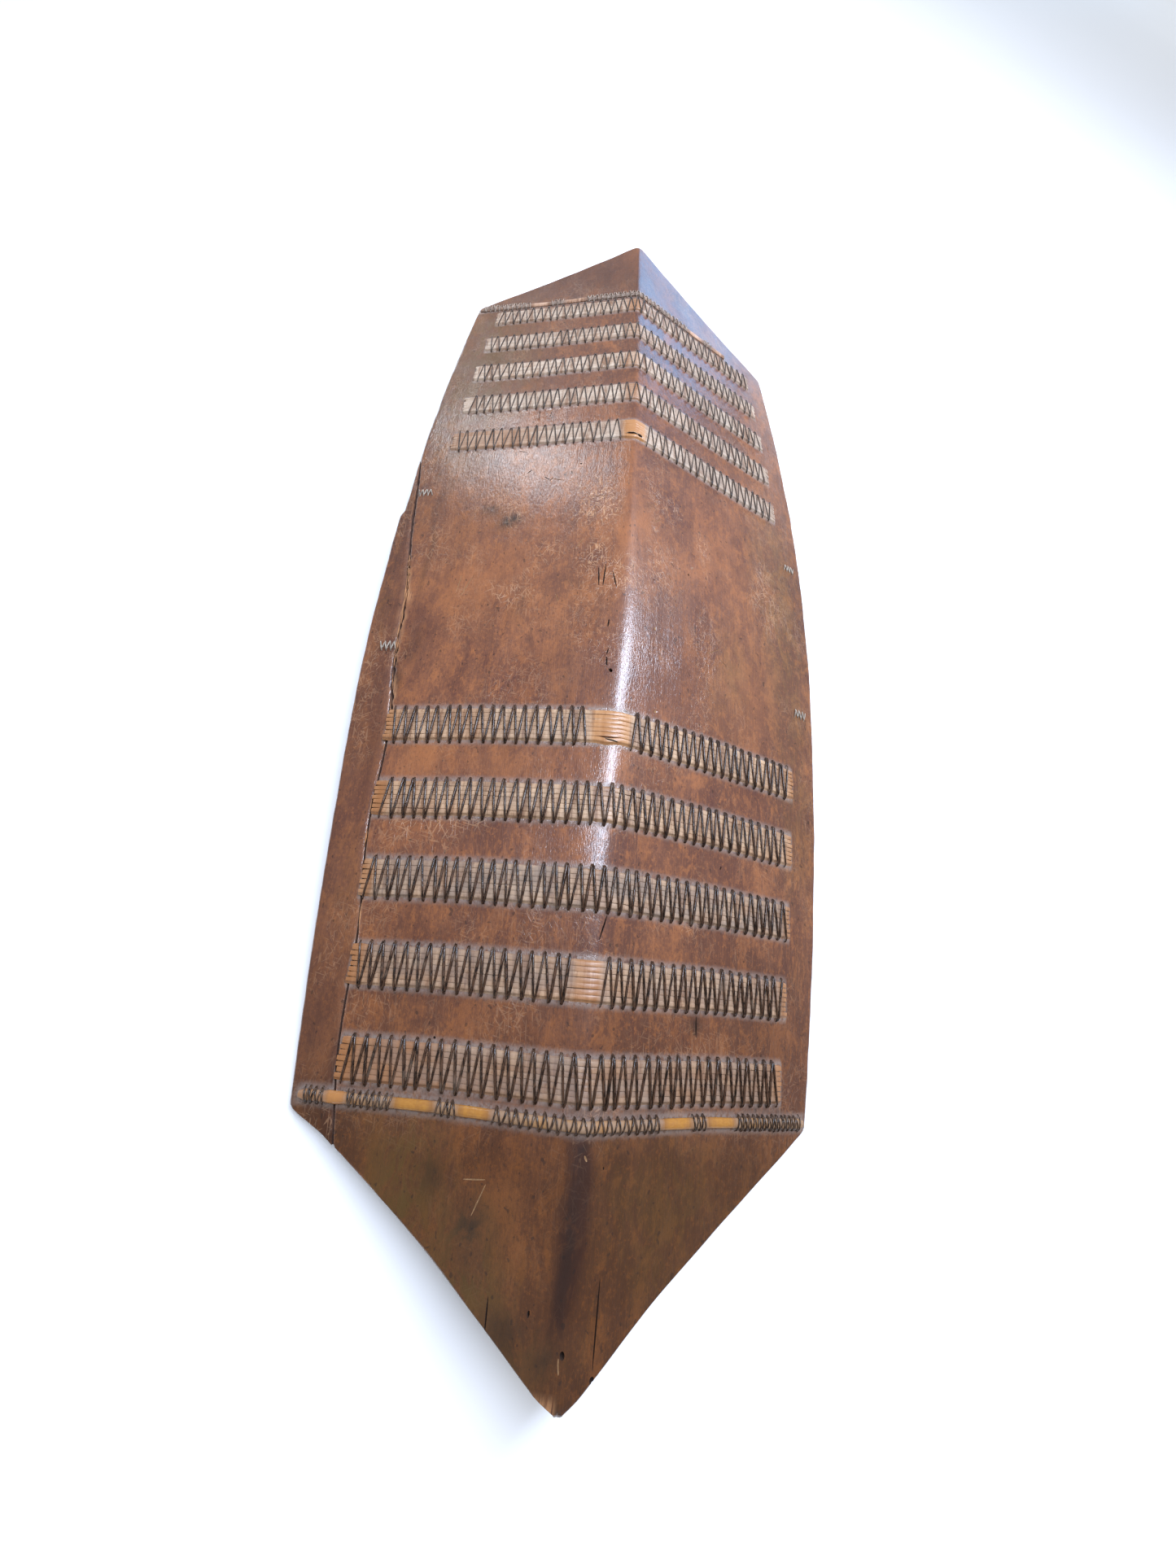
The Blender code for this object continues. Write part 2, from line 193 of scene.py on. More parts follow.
def bandsAcross():
    # middle of each wide band with its number, the first one farthest away
    places = [layout["firstBand"] + layout["bandStep"] * k for k in range(layout["farBands"])]
    return dict(enumerate([*reversed(places), *(-y for y in places)], start=1))


bandMiddles = bandsAcross()


def course(middle, sag, skew, x):
    share = x / outlineHalf(middle)
    return middle + math.copysign(sag * (0.5 - abs(share)), middle) - skew * share


def bandCourse(middle, x):
    return course(middle, layout["bandSag"], 0, x)


def beyondBands(x, y):
    # how far a point of the face is outside the nearest band or rod
    nearest = 1.0
    for middle in bandMiddles.values():
        if abs(middle - y) < 0.045:
            across = abs(y - bandCourse(middle, x)) - layout["bandReach"]
            along = 2.5 * (abs(x) - (outlineHalf(middle) - layout["bandInset"]))
            outside = max(across, along) if min(across, along) < 0 else math.hypot(across, along)
            nearest = min(nearest, outside)
    for middle, skew in ((layout["rodMiddle"], 0), (-layout["rodMiddle"], layout["nearSkew"])):
        if abs(middle - y) < 0.03:
            across = abs(y - course(middle, layout["rodSag"], skew, x)) - layout["rodReach"]
            reach = outlineHalf(middle) - layout["rodInset"]
            right = reach * (layout["farBreak"] if middle > 0 else 1)
            nearest = min(nearest, max(across, -x - reach, x - right))
    return nearest


def rolledGrid(bm, around, along, spot):
    # a flat grid rolled into a closed shell: spot(i, k) is point i of slice k; returns its points
    grid = bmesh.ops.create_grid(bm, x_segments=around, y_segments=along, size=0.5)["verts"]
    for vert in grid:
        i = round((vert.co.x + 0.5) * around) % around
        k = round((vert.co.y + 0.5) * along)
        vert.co = spot(i, k)
    bmesh.ops.remove_doubles(bm, verts=grid, dist=1e-7)
    rims = [edge for edge in bm.edges if edge.is_boundary]
    bmesh.ops.holes_fill(bm, edges=rims, sides=0)
    return [vert for vert in grid if vert.is_valid]


def smoothed(piece, sharp):
    piece.data.shade_smooth()
    piece.data.set_sharp_from_angle(angle=math.radians(sharp))


def placed(name, data):
    item = bpy.data.objects.new(name, data)
    bpy.context.scene.collection.objects.link(item)
    return item


def helper(name, bm, material):
    # a bmesh made an object
    mesh = bpy.data.meshes.new(name)
    bm.to_mesh(mesh)
    bm.free()
    mesh.materials.append(material)
    return placed(name, mesh)


def finalMesh(item):
    # the mesh that an object's modifiers or bevel leave
    return bpy.data.meshes.new_from_object(item.evaluated_get(bpy.context.evaluated_depsgraph_get()))


def finished(name, bm, nodes, material, sharp=40):
    # hands a bmesh over as a piece that rides on the shield in the place of its solids
    bmesh.ops.translate(bm, verts=bm.verts, vec=place)
    bmesh.ops.recalc_face_normals(bm, faces=bm.faces)
    piece = helper(name, bm, material)
    smoothed(piece, sharp)
    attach(piece, "root")
    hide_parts(*nodes)
    return piece


def paint(piece, name, rule):
    # stores one number for each point of a piece, for its material to read
    layer = piece.data.attributes.new(name, "FLOAT", "POINT")
    layer.data.foreach_set("value", [rule(*(vert.co - place)) for vert in piece.data.vertices])


def put(tree, kind, inputs=None, **settings):
    # adds a node; an input is either a value or another node's output
    node = tree.nodes.new(kind)
    for key, value in settings.items():
        setattr(node, key, value)
    for key, value in (inputs or {}).items():
        if isinstance(value, bpy.types.NodeSocket):
            tree.links.new(value, node.inputs[key])
        else:
            node.inputs[key].default_value = value
    return node


def newMaterial(name, roughness):
    material = bpy.data.materials.new(name)
    material.use_nodes = True
    tree = material.node_tree
    shader = tree.nodes["Principled BSDF"]
    shader.inputs["Roughness"].default_value = roughness
    where = put(tree, "ShaderNodeTexCoord").outputs["Object"]
    return material, shader, where


def grain(where, stretch, detail=3.0, rough=0.5, distort=0.0):
    # noise with a given fineness along each axis
    mapped = put(where.id_data, "ShaderNodeMapping", {0: where, "Scale": stretch}).outputs[0]
    settings = {"Vector": mapped, "Scale": 1.0, "Detail": detail, "Roughness": rough, "Distortion": distort}
    return put(where.id_data, "ShaderNodeTexNoise", settings).outputs["Fac"]


def scratchLines(where, degrees, across, along, low):
    # short straight scratches that all run one way on the face
    way = {0: where, "Rotation": (0, 0, math.radians(degrees)), "Scale": (1 / across, 1 / along, 0.1)}
    turned = put(where.id_data, "ShaderNodeMapping", way, vector_type="TEXTURE").outputs[0]
    settings = {"Vector": turned, "Scale": 1.0, "Detail": 0.0}
    return spread(put(where.id_data, "ShaderNodeTexNoise", settings).outputs["Fac"], low, low + 0.03)


def spread(value, low, high, toLow=0.0, toHigh=1.0):
    # stretches a range of values to another, held at both ends
    ends = {"Value": value, "From Min": low, "From Max": high, "To Min": toLow, "To Max": toHigh}
    return put(value.id_data, "ShaderNodeMapRange", ends, interpolation_type="SMOOTHSTEP").outputs[0]


def maths(operation, first, second=0.0):
    return put(first.id_data, "ShaderNodeMath", {0: first, 1: second}, operation=operation).outputs[0]


def times(first, second):
    return maths("MULTIPLY", first, second)


def plus(first, second):
    return maths("ADD", first, second)


def blend(share, first, second, kind="MIX"):
    # mixes two colours, of which each is either a tint or another node's output
    source = next(part for part in (share, first, second) if isinstance(part, bpy.types.NodeSocket))
    first, second = ((*part, 1) if isinstance(part, tuple) else part for part in (first, second))
    inputs = {0: share, 6: first, 7: second}
    return put(source.id_data, "ShaderNodeMix", inputs, data_type="RGBA", blend_type=kind).outputs[2]


def plug(shader, **sockets):
    for name, output in sockets.items():
        shader.id_data.links.new(output, shader.inputs[name.replace("_", " ")])


def bumped(shader, height, strength, distance):
    inputs = {"Height": height, "Strength": strength, "Distance": distance}
    bump = put(shader.id_data, "ShaderNodeBump", inputs).outputs[0]
    plug(shader, Normal=bump, Coat_Normal=bump)


def tint(red, green, blue):
    # a screen colour, 0 to 255, made linear
    return tuple(((part / 255 + 0.055) / 1.055) ** 2.4 for part in (red, green, blue))


def attribute(where, name):
    return put(where.id_data, "ShaderNodeAttribute", attribute_name=name).outputs["Fac"]


woodLook = dict(
    middle=tint(121, 75, 52), dark=tint(90, 55, 42), orange=tint(148, 92, 54), purple=tint(80, 49, 46),
    stain=tint(72, 40, 33), olive=tint(108, 82, 46), raw=tint(190, 138, 94), dust=tint(136, 121, 112),
    scratch=tint(188, 146, 110), grime=tint(26, 17, 15), darkTone=(0.50, 0.43, 0.23),
    roughness=0.42,
)
woodShine = {"Coat Weight": 0.75, "Coat Roughness": 0.075, "Coat IOR": 1.6, "Specular IOR Level": 0.35}
# patterns in the wood, with their fineness across, along and through it
woodPatterns = dict(
    large=dict(stretch=(9, 4, 9), detail=4, rough=0.6),
    blotches=dict(stretch=(30, 17, 30), detail=6, rough=0.68, distort=0.6),
    mottle=dict(stretch=(120, 70, 120), detail=5, rough=0.7, distort=0.4),
    streaks=dict(stretch=(170, 6, 60), detail=5, rough=0.62, distort=0.3),
    fine=dict(stretch=(1200, 34, 60), detail=3, rough=0.65),
    pores=dict(stretch=(1700, 190, 90), detail=1),
    flaked=dict(stretch=(58, 26, 58), detail=9, rough=0.72, distort=0.8),
    speckle=dict(stretch=(420, 300, 420), detail=4, rough=0.75),
    specks=dict(stretch=(330, 240, 330), detail=0),
    nicked=dict(stretch=(400, 260, 400), detail=0),
    clusters=dict(stretch=(22, 14, 22), detail=3),
    brushed=dict(stretch=(300, 220, 300), detail=4, rough=0.7),
)
# coats of colour: the pattern, where in it the colour starts and is full, how strong it is, and which
woodLayers = (
    ("blotches", 0.50, 0.70, 0.75, "orange"), ("blotches", 0.47, 0.30, 0.7, "purple"),
    ("mottle", 0.52, 0.68, 0.65, "orange"), ("mottle", 0.47, 0.30, 0.7, "dark"),
    ("streaks", 0.50, 0.68, 0.45, "dark"),
    ("fine", 0.50, 0.66, 0.3, "orange"), ("fine", 0.46, 0.32, 0.3, "dark"),
    ("flaked", 0.53, 0.58, 0.38, "orange"), ("flaked", 0.47, 0.42, 0.5, "dark"),
    ("speckle", 0.53, 0.66, 0.55, "orange"), ("speckle", 0.47, 0.34, 0.65, "dark"),
)
# coats that are painted on in places, broken up by a pattern over a range of it, down to a least share
placedLayers = (
    ("wear", "blotches", 0.3, 0.6, 0.0, "orange"), ("olive", "flaked", 0.42, 0.56, 0.3, "olive"),
    ("stain", "flaked", 0.40, 0.52, 0.45, "stain"),
)
# ways the scratches run: degrees, fineness across and along, and how rare they are
scratchWays = (
    (4, 1100, 75, 0.70), (-24, 1050, 90, 0.715), (33, 1050, 90, 0.715), (76, 1050, 100, 0.715),
    (-62, 1100, 110, 0.725),
)


def carvedWood(name):
    look = woodLook
    material, shader, where = newMaterial(name, look["roughness"])
    seen = {pattern: grain(where, **settings) for pattern, settings in woodPatterns.items()}
    colour = blend(spread(seen["large"], 0.35, 0.65), look["middle"], look["dark"])
    for pattern, low, high, strength, shade in woodLayers:
        colour = blend(spread(seen[pattern], low, high, 0, strength), colour, look[shade])
    for area, pattern, low, high, least, shade in placedLayers:
        share = times(attribute(where, area), spread(seen[pattern], low, high, least, 1))
        colour = blend(share, colour, look[shade])
    # the face painted darker towards the near point
    colour = blend(attribute(where, "darkTone"), colour, blend(1.0, colour, look["darkTone"], "MULTIPLY"))
    grime = times(attribute(where, "grime"), spread(seen["flaked"], 0.40, 0.56, 0.35, 1))
    colour = blend(grime, colour, look["grime"])
    colour = blend(spread(seen["pores"], 0.30, 0.24, 0, 0.4), colour, look["dark"], "MULTIPLY")
    specks = times(spread(seen["specks"], 0.77, 0.80), 0.5)
    colour = blend(specks, colour, look["grime"])
    scratched = spread(seen["nicked"], 0.24, 0.20)
    for way in scratchWays:
        scratched = maths("MAXIMUM", scratched, scratchLines(where, *way))
    clustered = times(spread(seen["clusters"], 0.42, 0.66), attribute(where, "scuffed"))
    scratched = times(scratched, clustered)
    colour = blend(times(scratched, 0.75), colour, look["scratch"])
    strayed = times(maths("SUBTRACT", seen["brushed"], 0.5), 0.009)
    dusty = spread(plus(attribute(where, "beyond"), strayed), 0.0058, 0.0006)
    dusty = times(dusty, spread(seen["brushed"], 0.34, 0.62, 0.2, 0.9))
    colour = blend(dusty, colour, look["dust"])
    splinters = blend(spread(seen["fine"], 0.50, 0.66), look["raw"], look["dark"])
    colour = blend(attribute(where, "raw"), colour, splinters)
    plug(shader, Base_Color=colour)
    rough = spread(seen["blotches"], 0.3, 0.7, look["roughness"] - 0.06, look["roughness"] + 0.12)
    rough = plus(rough, times(dusty, 0.3))
    rough = plus(rough, times(attribute(where, "raw"), 0.4))
    plug(shader, Roughness=rough)
    for socket, value in woodShine.items():
        shader.inputs[socket].default_value = value
    height = plus(times(seen["streaks"], 0.5), times(seen["pores"], 0.3))
    for risen, strength in ((seen["mottle"], 0.6), (seen["speckle"], 0.2), (scratched, -0.25)):
        height = plus(height, times(risen, strength))
    height = plus(height, times(times(dusty, seen["brushed"]), 0.8))
    bumped(shader, height, 0.4, 0.0011)
    return material


def cutWood(name, first, second):
    material, shader, where = newMaterial(name, 0.9)
    speckle = grain(where, (500, 500, 500))
    plug(shader, Base_Color=blend(speckle, first, second))
    bumped(shader, speckle, 0.4, 0.0006)
    return material


wood = carvedWood("carvedWood")
# near black for the insides of holes, slits and nicks: painted shade in them
holeShade = cutWood("paintedHoleShade", tint(30, 20, 15), tint(70, 45, 30))
cutPale = cutWood("freshCuts", tint(112, 82, 54), tint(150, 116, 80))
# a dark material for the faces inside the split: painted shade in its recess
splitShade = cutWood("paintedSplitShade", tint(44, 28, 23), tint(88, 60, 46))

board = dict(
    flankColumns=62, backColumns=24, nearRows=54, spanRows=330, farRows=48, nearTipRound=0.010,
    gripLength=0.125, gripWidth=0.030, gripThickness=0.022, fingerGap=0.034, gripFoot=0.075, gripFlare=0.45,
    gripSunk=0.004, gripRound=0.0045, footSteps=14, faceDepth=0.0032, splitDepth=0.0011,
)


def boardRows():
    # slices, closest together at the rounded tips
    counts = (board["nearRows"], board["spanRows"], board["farRows"])
    spans = zip((nearEnd, -halfSpan, halfSpan), (-halfSpan, halfSpan, farEnd), counts)
    rows = [start + (stop - start) * k / count for start, stop, count in spans for k in range(count)]
    extra = [share * shield["tipRound"] for share in (0.04, 0.15, 0.3, 0.55, 0.8)]
    return sorted([*rows, farEnd, *(nearEnd + step for step in extra), *(farEnd - step for step in extra)])


def boardRing():
    # what each point round a slice is: a place on the face or the back, or a step round an edge
    count, backCount = board["flankColumns"], board["backColumns"]
    face = [k / count for k in range(-count, count + 1)]
    face = [s - 0.6 * math.sin(math.tau * s) / math.tau for s in face]
    under = [k / backCount for k in range(backCount, -backCount, -1)]
    ring = [("left", -a) for a in (90, 60, 30, 0)] + [("left", a) for a in (1, 30, 60)]
    ring += [("face", s) for s in face]
    ring += [("right", a) for a in (60, 30, 1)] + [("right", -a) for a in (0, 30, 60)]
    return ring + [("under", s) for s in under]


def boardSlice(y, ring):
    fromTip = clamp(min((y - nearEnd) / board["nearTipRound"], (farEnd - y) / shield["tipRound"]))
    tip = max(math.sqrt(1 - (1 - fromTip) ** 2), 0.12)
    onSplit = y < split["top"] and boardLeft(y) < edgeHalf(y, -1) - 0.0004
    left = (boardLeft(y) + (0 if y < split["top"] else edgeWear(y, 1))) * tip
    right = (edgeHalf(y, 1) + edgeWear(y, 8)) * tip
    rounding = shield["edgeRound"] * (1 + 0.35 * wobble(y * 25, 4)) * tip
    leftRim = -1, left, min(0.0007 if onSplit else rounding, left * 0.4)
    rightRim = 1, right, min(rounding, right * 0.4)
    points = []
    for kind, value in ring:
        onLeft = kind == "left" or (kind != "right" and value < 0)
        sign, half, r = leftRim if onLeft else rightRim
        if kind in ("face", "under"):
            x = value * (half - r)
            z = faceZ(x, y) if kind == "face" else backZ(x, y)
        else:
            turn = math.radians(value)
            x = sign * (half - r + r * math.cos(turn))
            middle = faceZ(half - r, y) - r if value > 0 else backZ(half - r, y) + r
            z = middle + r * math.sin(turn)
        centre = (frontZ(x, y) + backZ(x, y)) / 2
        points.append(Vector((x, y, centre + (z - centre) * tip)))
    return points


def gripBlank():
    # the grip and its spreading feet, cut from the same board
    half = board["gripLength"] / 2
    end = half + board["gripFoot"]
    top = backZ(0, 0) - board["fingerGap"]
    under = top - board["gripThickness"]
    corner = board["fingerGap"] / 3
    nip = corner * 0.3
    footSunk, halfSunk = backZ(0, end) + board["gripSunk"], backZ(0, half) + board["gripSunk"]

    def foot(start, k):
        y = start + board["gripFoot"] * k / board["footSteps"]
        past = clamp((abs(y) - half) / board["gripFoot"])
        risen = 1 - (1 + math.cos(math.pi * past)) / 2
        return y, under + (backZ(0, end) - under) * risen

    outline = [(-end, footSunk)]
    outline += [foot(start, k) for start in (-end, half) for k in range(board["footSteps"] + 1)]
    outline += [(end, footSunk), (half, halfSunk), (half, top + corner), (half - nip, top + nip)]
    outline += [(half - corner, top), (corner - half, top), (nip - half, top + nip)]
    outline += [(-half, top + corner), (-half, halfSunk)]
    bm = bmesh.new()
    side = bm.faces.new([bm.verts.new((-board["gripWidth"] / 2, y, z)) for y, z in outline])
    moved = bmesh.ops.extrude_face_region(bm, geom=[side])["geom"]
    bmesh.ops.translate(bm, verts=[part for part in moved if isinstance(part, bmesh.types.BMVert)],
                        vec=(board["gripWidth"], 0, 0))
    bmesh.ops.recalc_face_normals(bm, faces=bm.faces)
    rims = []
    for edge in bm.edges:
        first, second = (vert.co for vert in edge.verts)
        above = max(first.z - backZ(0, first.y), second.z - backZ(0, second.y))
        if first.x * second.x > 0 and above < board["gripSunk"] / 2:
            rims.append(edge)
    bmesh.ops.bevel(bm, geom=rims, offset=board["gripRound"], offset_type="OFFSET", segments=4, profile=0.5,
                    affect="EDGES", material=-1)
    bmesh.ops.triangulate(bm, faces=bm.faces)
    for vert in bm.verts:
        vert.co.x *= 1 + board["gripFlare"] * clamp((abs(vert.co.y) - half) / board["gripFoot"])
    bmesh.ops.translate(bm, verts=bm.verts, vec=place)
    return bm


# worm holes, slits and nicks: x, y, radius across, radius along and depth in mm, turn in degrees
nicks = [
    (0.8, -397.4, 1.3, 1.3, 6, 0), (-101.6, -394.1, 1.1, 1.1, 6, 0), (-3.9, -364.3, 1.1, 1.1, 6, 0),
    (-7.7, -116.3, 1.7, 2.4, 4, 35), (-11.3, -108, 0.8, 5.5, 2, 4), (-0.3, -556.4, 1.8, 2.8, 6, 10),
    (-21.7, -538.9, 1, 2.4, 5, -8), (2.6, -315, 0.7, 12, 4, -14), (-45.8, -543, 0.6, 12.5, 4, 0),
    (20, -544, 0.7, 29, 10, 0), (19.7, -570.9, 2, 2.4, 14, 0), (-12.4, -71.6, 0.8, 5, 2, -4),
    (83.5, -375, 0.9, 9.2, 2, 4), (-30, -150, 0.7, 1.1, 3, 0), (26, -15, 0.7, 1, 3, 0),
    (-48, 118, 1.2, 1.2, 3, 0), (62, 10, 0.8, 1.6, 3, 30), (-23.3, -23.5, 0.8, 13, 2, 4),
    (-18.8, -22, 0.8, 15, 2, -3), (-10, -27, 0.6, 12, 2, 14), (-104.8, 141.3, 0.5, 6, 1.2, 70),
    (-95.4, 111.4, 0.6, 4, 1.5, -40), (-78.3, 100.5, 0.6, 5, 1.5, 50), (-74, 98.5, 0.5, 4, 1.2, -30),
    (-55.5, 106.3, 0.5, 3, 1.2, 10), (-94.6, 200.5, 0.5, 12, 1, 4), (-83.1, 200.3, 0.4, 8, 1, -6),
    (-110.3, 217, 0.4, 9, 1, 8), (-11.3, -99, 0.6, 4, 2, -14), (101, -256, 0.8, 2, 3, -20),
    (17, -462, 0.7, 1.2, 3, 0),
]

# shallow pale scratches, cut the same way
paleCuts = [
    (-63, -474, 0.6, 9, 0.6, -84), (-58.8, -484.8, 0.6, 12.5, 0.6, -22), (4, -456, 0.9, 2.6, 0.6, 30),
    (-2, -561.5, 0.7, 5, 0.6, 6), (-142, -26, 0.4, 12, 0.4, -6), (-135, -30, 0.4, 16, 0.4, -20),
    (-68, 98, 0.4, 8, 0.4, 70), (-30, 72, 0.4, 10, 0.4, 85), (28, 56, 0.4, 7, 0.4, -40),
    (42, -5, 0.4, 6, 0.4, 35), (90, -62, 0.4, 12, 0.4, -55), (102, -70, 0.4, 8, 0.4, 60),
    (-150, -236, 0.5, 8, 0.4, 2), (-143, -238, 0.4, 7, 0.4, -4), (-125, -240, 0.4, 8, 0.4, 8),
    (-42, 15, 0.4, 8, 0.4, -30), (-56, -45, 0.4, 6, 0.4, 20), (66, 20, 1, 1.4, 0.4, 0),
    (29, -65, 1.2, 1.8, 0.4, 0), (33, -142, 1.3, 1.5, 0.4, 0),
]


def nickCutters(listed):
    bm = bmesh.new()
    step = 0.001
    for *millimetres, turn in listed:
        x, y, across, along, depth = (part / 1000 for part in millimetres)
        rise = faceZ(x - step, y) - faceZ(x + step, y), faceZ(x, y - step) - faceZ(x, y + step)
        tilt = Vector((0, 0, 1)).rotation_difference(Vector((*rise, 2 * step))).to_matrix().to_4x4()
        spin = Matrix.Rotation(math.radians(turn), 4, "Z")
        spot = Matrix.Translation(Vector((x, y, faceZ(x, y))) + place)
        cone = bmesh.ops.create_cone(bm, cap_ends=True, segments=14, radius1=0.35, radius2=1.25, depth=2.0)
        size = Matrix.Diagonal((across, along, depth, 1))
        bmesh.ops.transform(bm, verts=cone["verts"], matrix=spot @ tilt @ spin @ size)
    bmesh.ops.recalc_face_normals(bm, faces=bm.faces)
    return bm


def cutAndJoin(piece, bm, material, operation, overlapping=False):
    # an exact Boolean with a bmesh, applied at once
    other = helper(piece.name + "Cutter", bm, material)
    step = piece.modifiers.new(operation.lower(), "BOOLEAN")
    step.operation = operation
    step.solver = "EXACT"
    step.material_mode = "TRANSFER"
    step.use_self = overlapping
    step.object = other
    done = finalMesh(piece)
    piece.modifiers.clear()
    piece.data = done
    bpy.data.objects.remove(other)


# where the face is stained, grimy, worn, scuffed or olive: x, y, reach across and along in mm, strength
faceSpots = dict(
    stain=[
        (0, -490, 10, 52, 1.9), (-12, -545, 12, 20, 0.5), (-190, -200, 12, 160, 0.5), (50, 150, 30, 20, 0.35),
        (-160, 290, 45, 150, 0.45), (-50, 505, 100, 60, 0.75), (-60, 240, 50, 60, 0.3),
        (-15, -120, 60, 30, 0.3), (30, -90, 30, 50, 0.4), (-170, -75, 10, 35, 0.5),
    ],
    grime=[
        (-107.7, 46, 11, 7, 1.2), (-128, 60, 9, 7, 0.7), (-45, -30, 10, 4, 0.35), (84, -372, 4, 9, 0.85),
        (-85, -50, 6, 10, 0.3), (20, 65, 6, 5, 0.4), (-62, -510, 12, 16, 0.7), (-36, -545, 14, 14, 0.6),
        (-88, -475, 12, 10, 0.5), (-2, -500, 5.5, 40, 0.55), (-14, -565, 10, 8, 0.5), (4, -452, 6, 4, 0.5),
        (-181, -125, 4.5, 16, 0.75), (-176, 10, 3, 45, 0.45), (-173, 75, 4, 30, 0.5), (-172, -88, 6, 10, 0.4),
    ],
    wear=[
        (-10, 10, 30, 60, 0.6), (0, 120, 10, 80, 0.12), (20, 40, 20, 30, 0.5), (-120, -10, 40, 60, 0.5),
        (-60, -200, 60, 20, 0.4), (100, 40, 40, 50, 0.35), (120, -100, 40, 60, 0.35),
        (-140, -190, 20, 20, 0.5),
    ],
    scuffed=[
        (-130, -238, 45, 14, 1), (-40, 70, 60, 40, 0.7), (60, 30, 30, 40, 0.8), (-66, -475, 22, 20, 0.8),
        (-100, -20, 40, 50, 0.5), (30, 100, 60, 30, 0.6), (10, -430, 30, 10, 0.5), (80, -220, 60, 12, 0.6),
        (0, 0, 20, 60, 0.7), (90, -310, 60, 12, 0.5), (30, 40, 100, 60, 0.6),
    ],
    olive=[
        (-110, -480, 30, 40, 1), (-60, -525, 24, 30, 0.9), (70, -490, 60, 50, 0.45), (-165, 300, 50, 150, 1),
        (-60, 480, 80, 60, 0.15), (170, 50, 30, 120, 0.4), (185, -150, 20, 150, 0.3),
        (110, -80, 20, 50, 0.35), (-20, -560, 30, 30, 0.5),
    ],
)


def spots(kind, x, y):
    x, y = x + 0.006 * wobble(x * 22, y * 22, 3), y + 0.014 * wobble(x * 22, y * 22, 9)
    return clamp(sum(strength * hump(x * 1000, cx, rx) * hump(y * 1000, cy, ry)
                     for cx, cy, rx, ry, strength in faceSpots[kind]))


def darkTone(x, y):
    # the face is painted darker towards the near point, most of all towards its tip
    darker = 0.45 * (1 - ease(-0.40, -0.25, y)) + 0.55 * (1 - ease(-0.47, -0.415, y))
    return clamp(darker + 0.12 * wobble(x * 12, y * 9, 6))


def scuffed(x, y):
    # few scratches show on the near point
    return clamp(0.26 + spots("scuffed", x, y)) * (0.12 + 0.88 * ease(-0.47, -0.42, y))


def onFace(x, y, z):
    return z > frontZ(x, y) - board["faceDepth"]


def inSplit(x, y, z):
    return (x < 0 and y < split["top"] and abs(boardLeft(y) + x) < 0.0009
            and z < frontZ(x, y) - board["splitDepth"])


# what is painted on the back and the edges, where the rules of the face don't hold
elsewhere = dict(beyond=1.0, stain=0.3, grime=0.35, wear=0.0, olive=0.2, scuffed=0.1, darkTone=0.3)
faceRules = dict(beyond=beyondBands, scuffed=scuffed, darkTone=darkTone)


def paintFace(piece, name):
    rule = faceRules.get(name) or (lambda x, y: spots(name, x, y))
    paint(piece, name, lambda x, y, z: rule(x, y) if onFace(x, y, z) else elsewhere[name])


def paintSplitShade(piece, rule):
    # gives the faces inside the split a dark material: painted shade in the recess
    piece.data.materials.append(splitShade)
    for face in piece.data.polygons:
        if rule(*(face.center - place)):
            face.material_index = len(piece.data.materials) - 1


def rawWood(x, y, z):
    # pale wood laid bare beside the split and at the chipped tip
    pale = 0.0
    if x < 0 and y < split["top"]:
        torn = (0.35 + 0.65 * rawShare(y)) * (0.0012 + 0.0060 * clamp(wobble(y * 34, 21) - 0.1))
        reach = torn + 0.0026 * hump(y, -0.05, 0.04) + 0.0008
        pale = rawFibre(y) * clamp(0.6 + 0.8 * wobble(y * 48, 2)) * (1 - ease(0, reach, boardLeft(y) + x))
    chipped = (1 - ease(0.005, 0.013, y - nearEnd)) * (1 - ease(-0.005, 0.000, x))
    return clamp(max(pale, chipped * 0.6))


def makeBoard():
    ring, rows = boardRing(), boardRows()
    slices = [boardSlice(y, ring) for y in rows]
    bm = bmesh.new()
    rolledGrid(bm, len(ring), len(rows) - 1, lambda i, k: slices[k][i])
    piece = finished("shieldBoard", bm, ["board"], wood)
    cutAndJoin(piece, gripBlank(), wood, "UNION")
    # holes, slits and nicks cut in, their insides in painted shade
    cutAndJoin(piece, nickCutters(nicks), holeShade, "DIFFERENCE")
    cutAndJoin(piece, nickCutters(paleCuts), cutPale, "DIFFERENCE")
    smoothed(piece, 50)
    for name in elsewhere:
        paintFace(piece, name)
    paint(piece, "raw", rawWood)
    # painted shade on the faces inside the split
    paintSplitShade(piece, inSplit)
    print("board:", len(piece.data.polygons), "faces")


makeBoard()

strip = dict(rows=230, drop=0.0007, fibres=46, tongue=0.0034, seed=41)


def tornFibres(bm):
    # slivers of wood that the split left standing between its two sides
    random.seed(strip["seed"])
    pale = bm.verts.layers.float.new("fibre")
    for count in range(strip["fibres"]):
        middle = random.gauss(-0.05, 0.035) if count % 4 else random.uniform(-0.36, 0.10)
        length = random.uniform(0.006, 0.024)
        thick, off = random.uniform(0.0002, 0.0005), random.uniform(-0.0016, 0.0008)
        slant, height = random.uniform(-0.06, 0.06), random.uniform(-0.0006, 0.0003)

        def spot(i, k):
            t = k / 5 - 1
            y = middle + t * length / 2
            turn = math.tau * i / 5
            fat = thick * (1.05 - t * t)
            x = -splitHalf(y) - off + slant * t * length / 2
            z = faceZ(x, y) + height - 0.0008 * t * t
            return Vector((x + fat * math.cos(turn), y, z + fat * math.sin(turn)))

        for vert in rolledGrid(bm, 5, 10, spot):
            vert[pale] = random.uniform(0.3, 0.9)


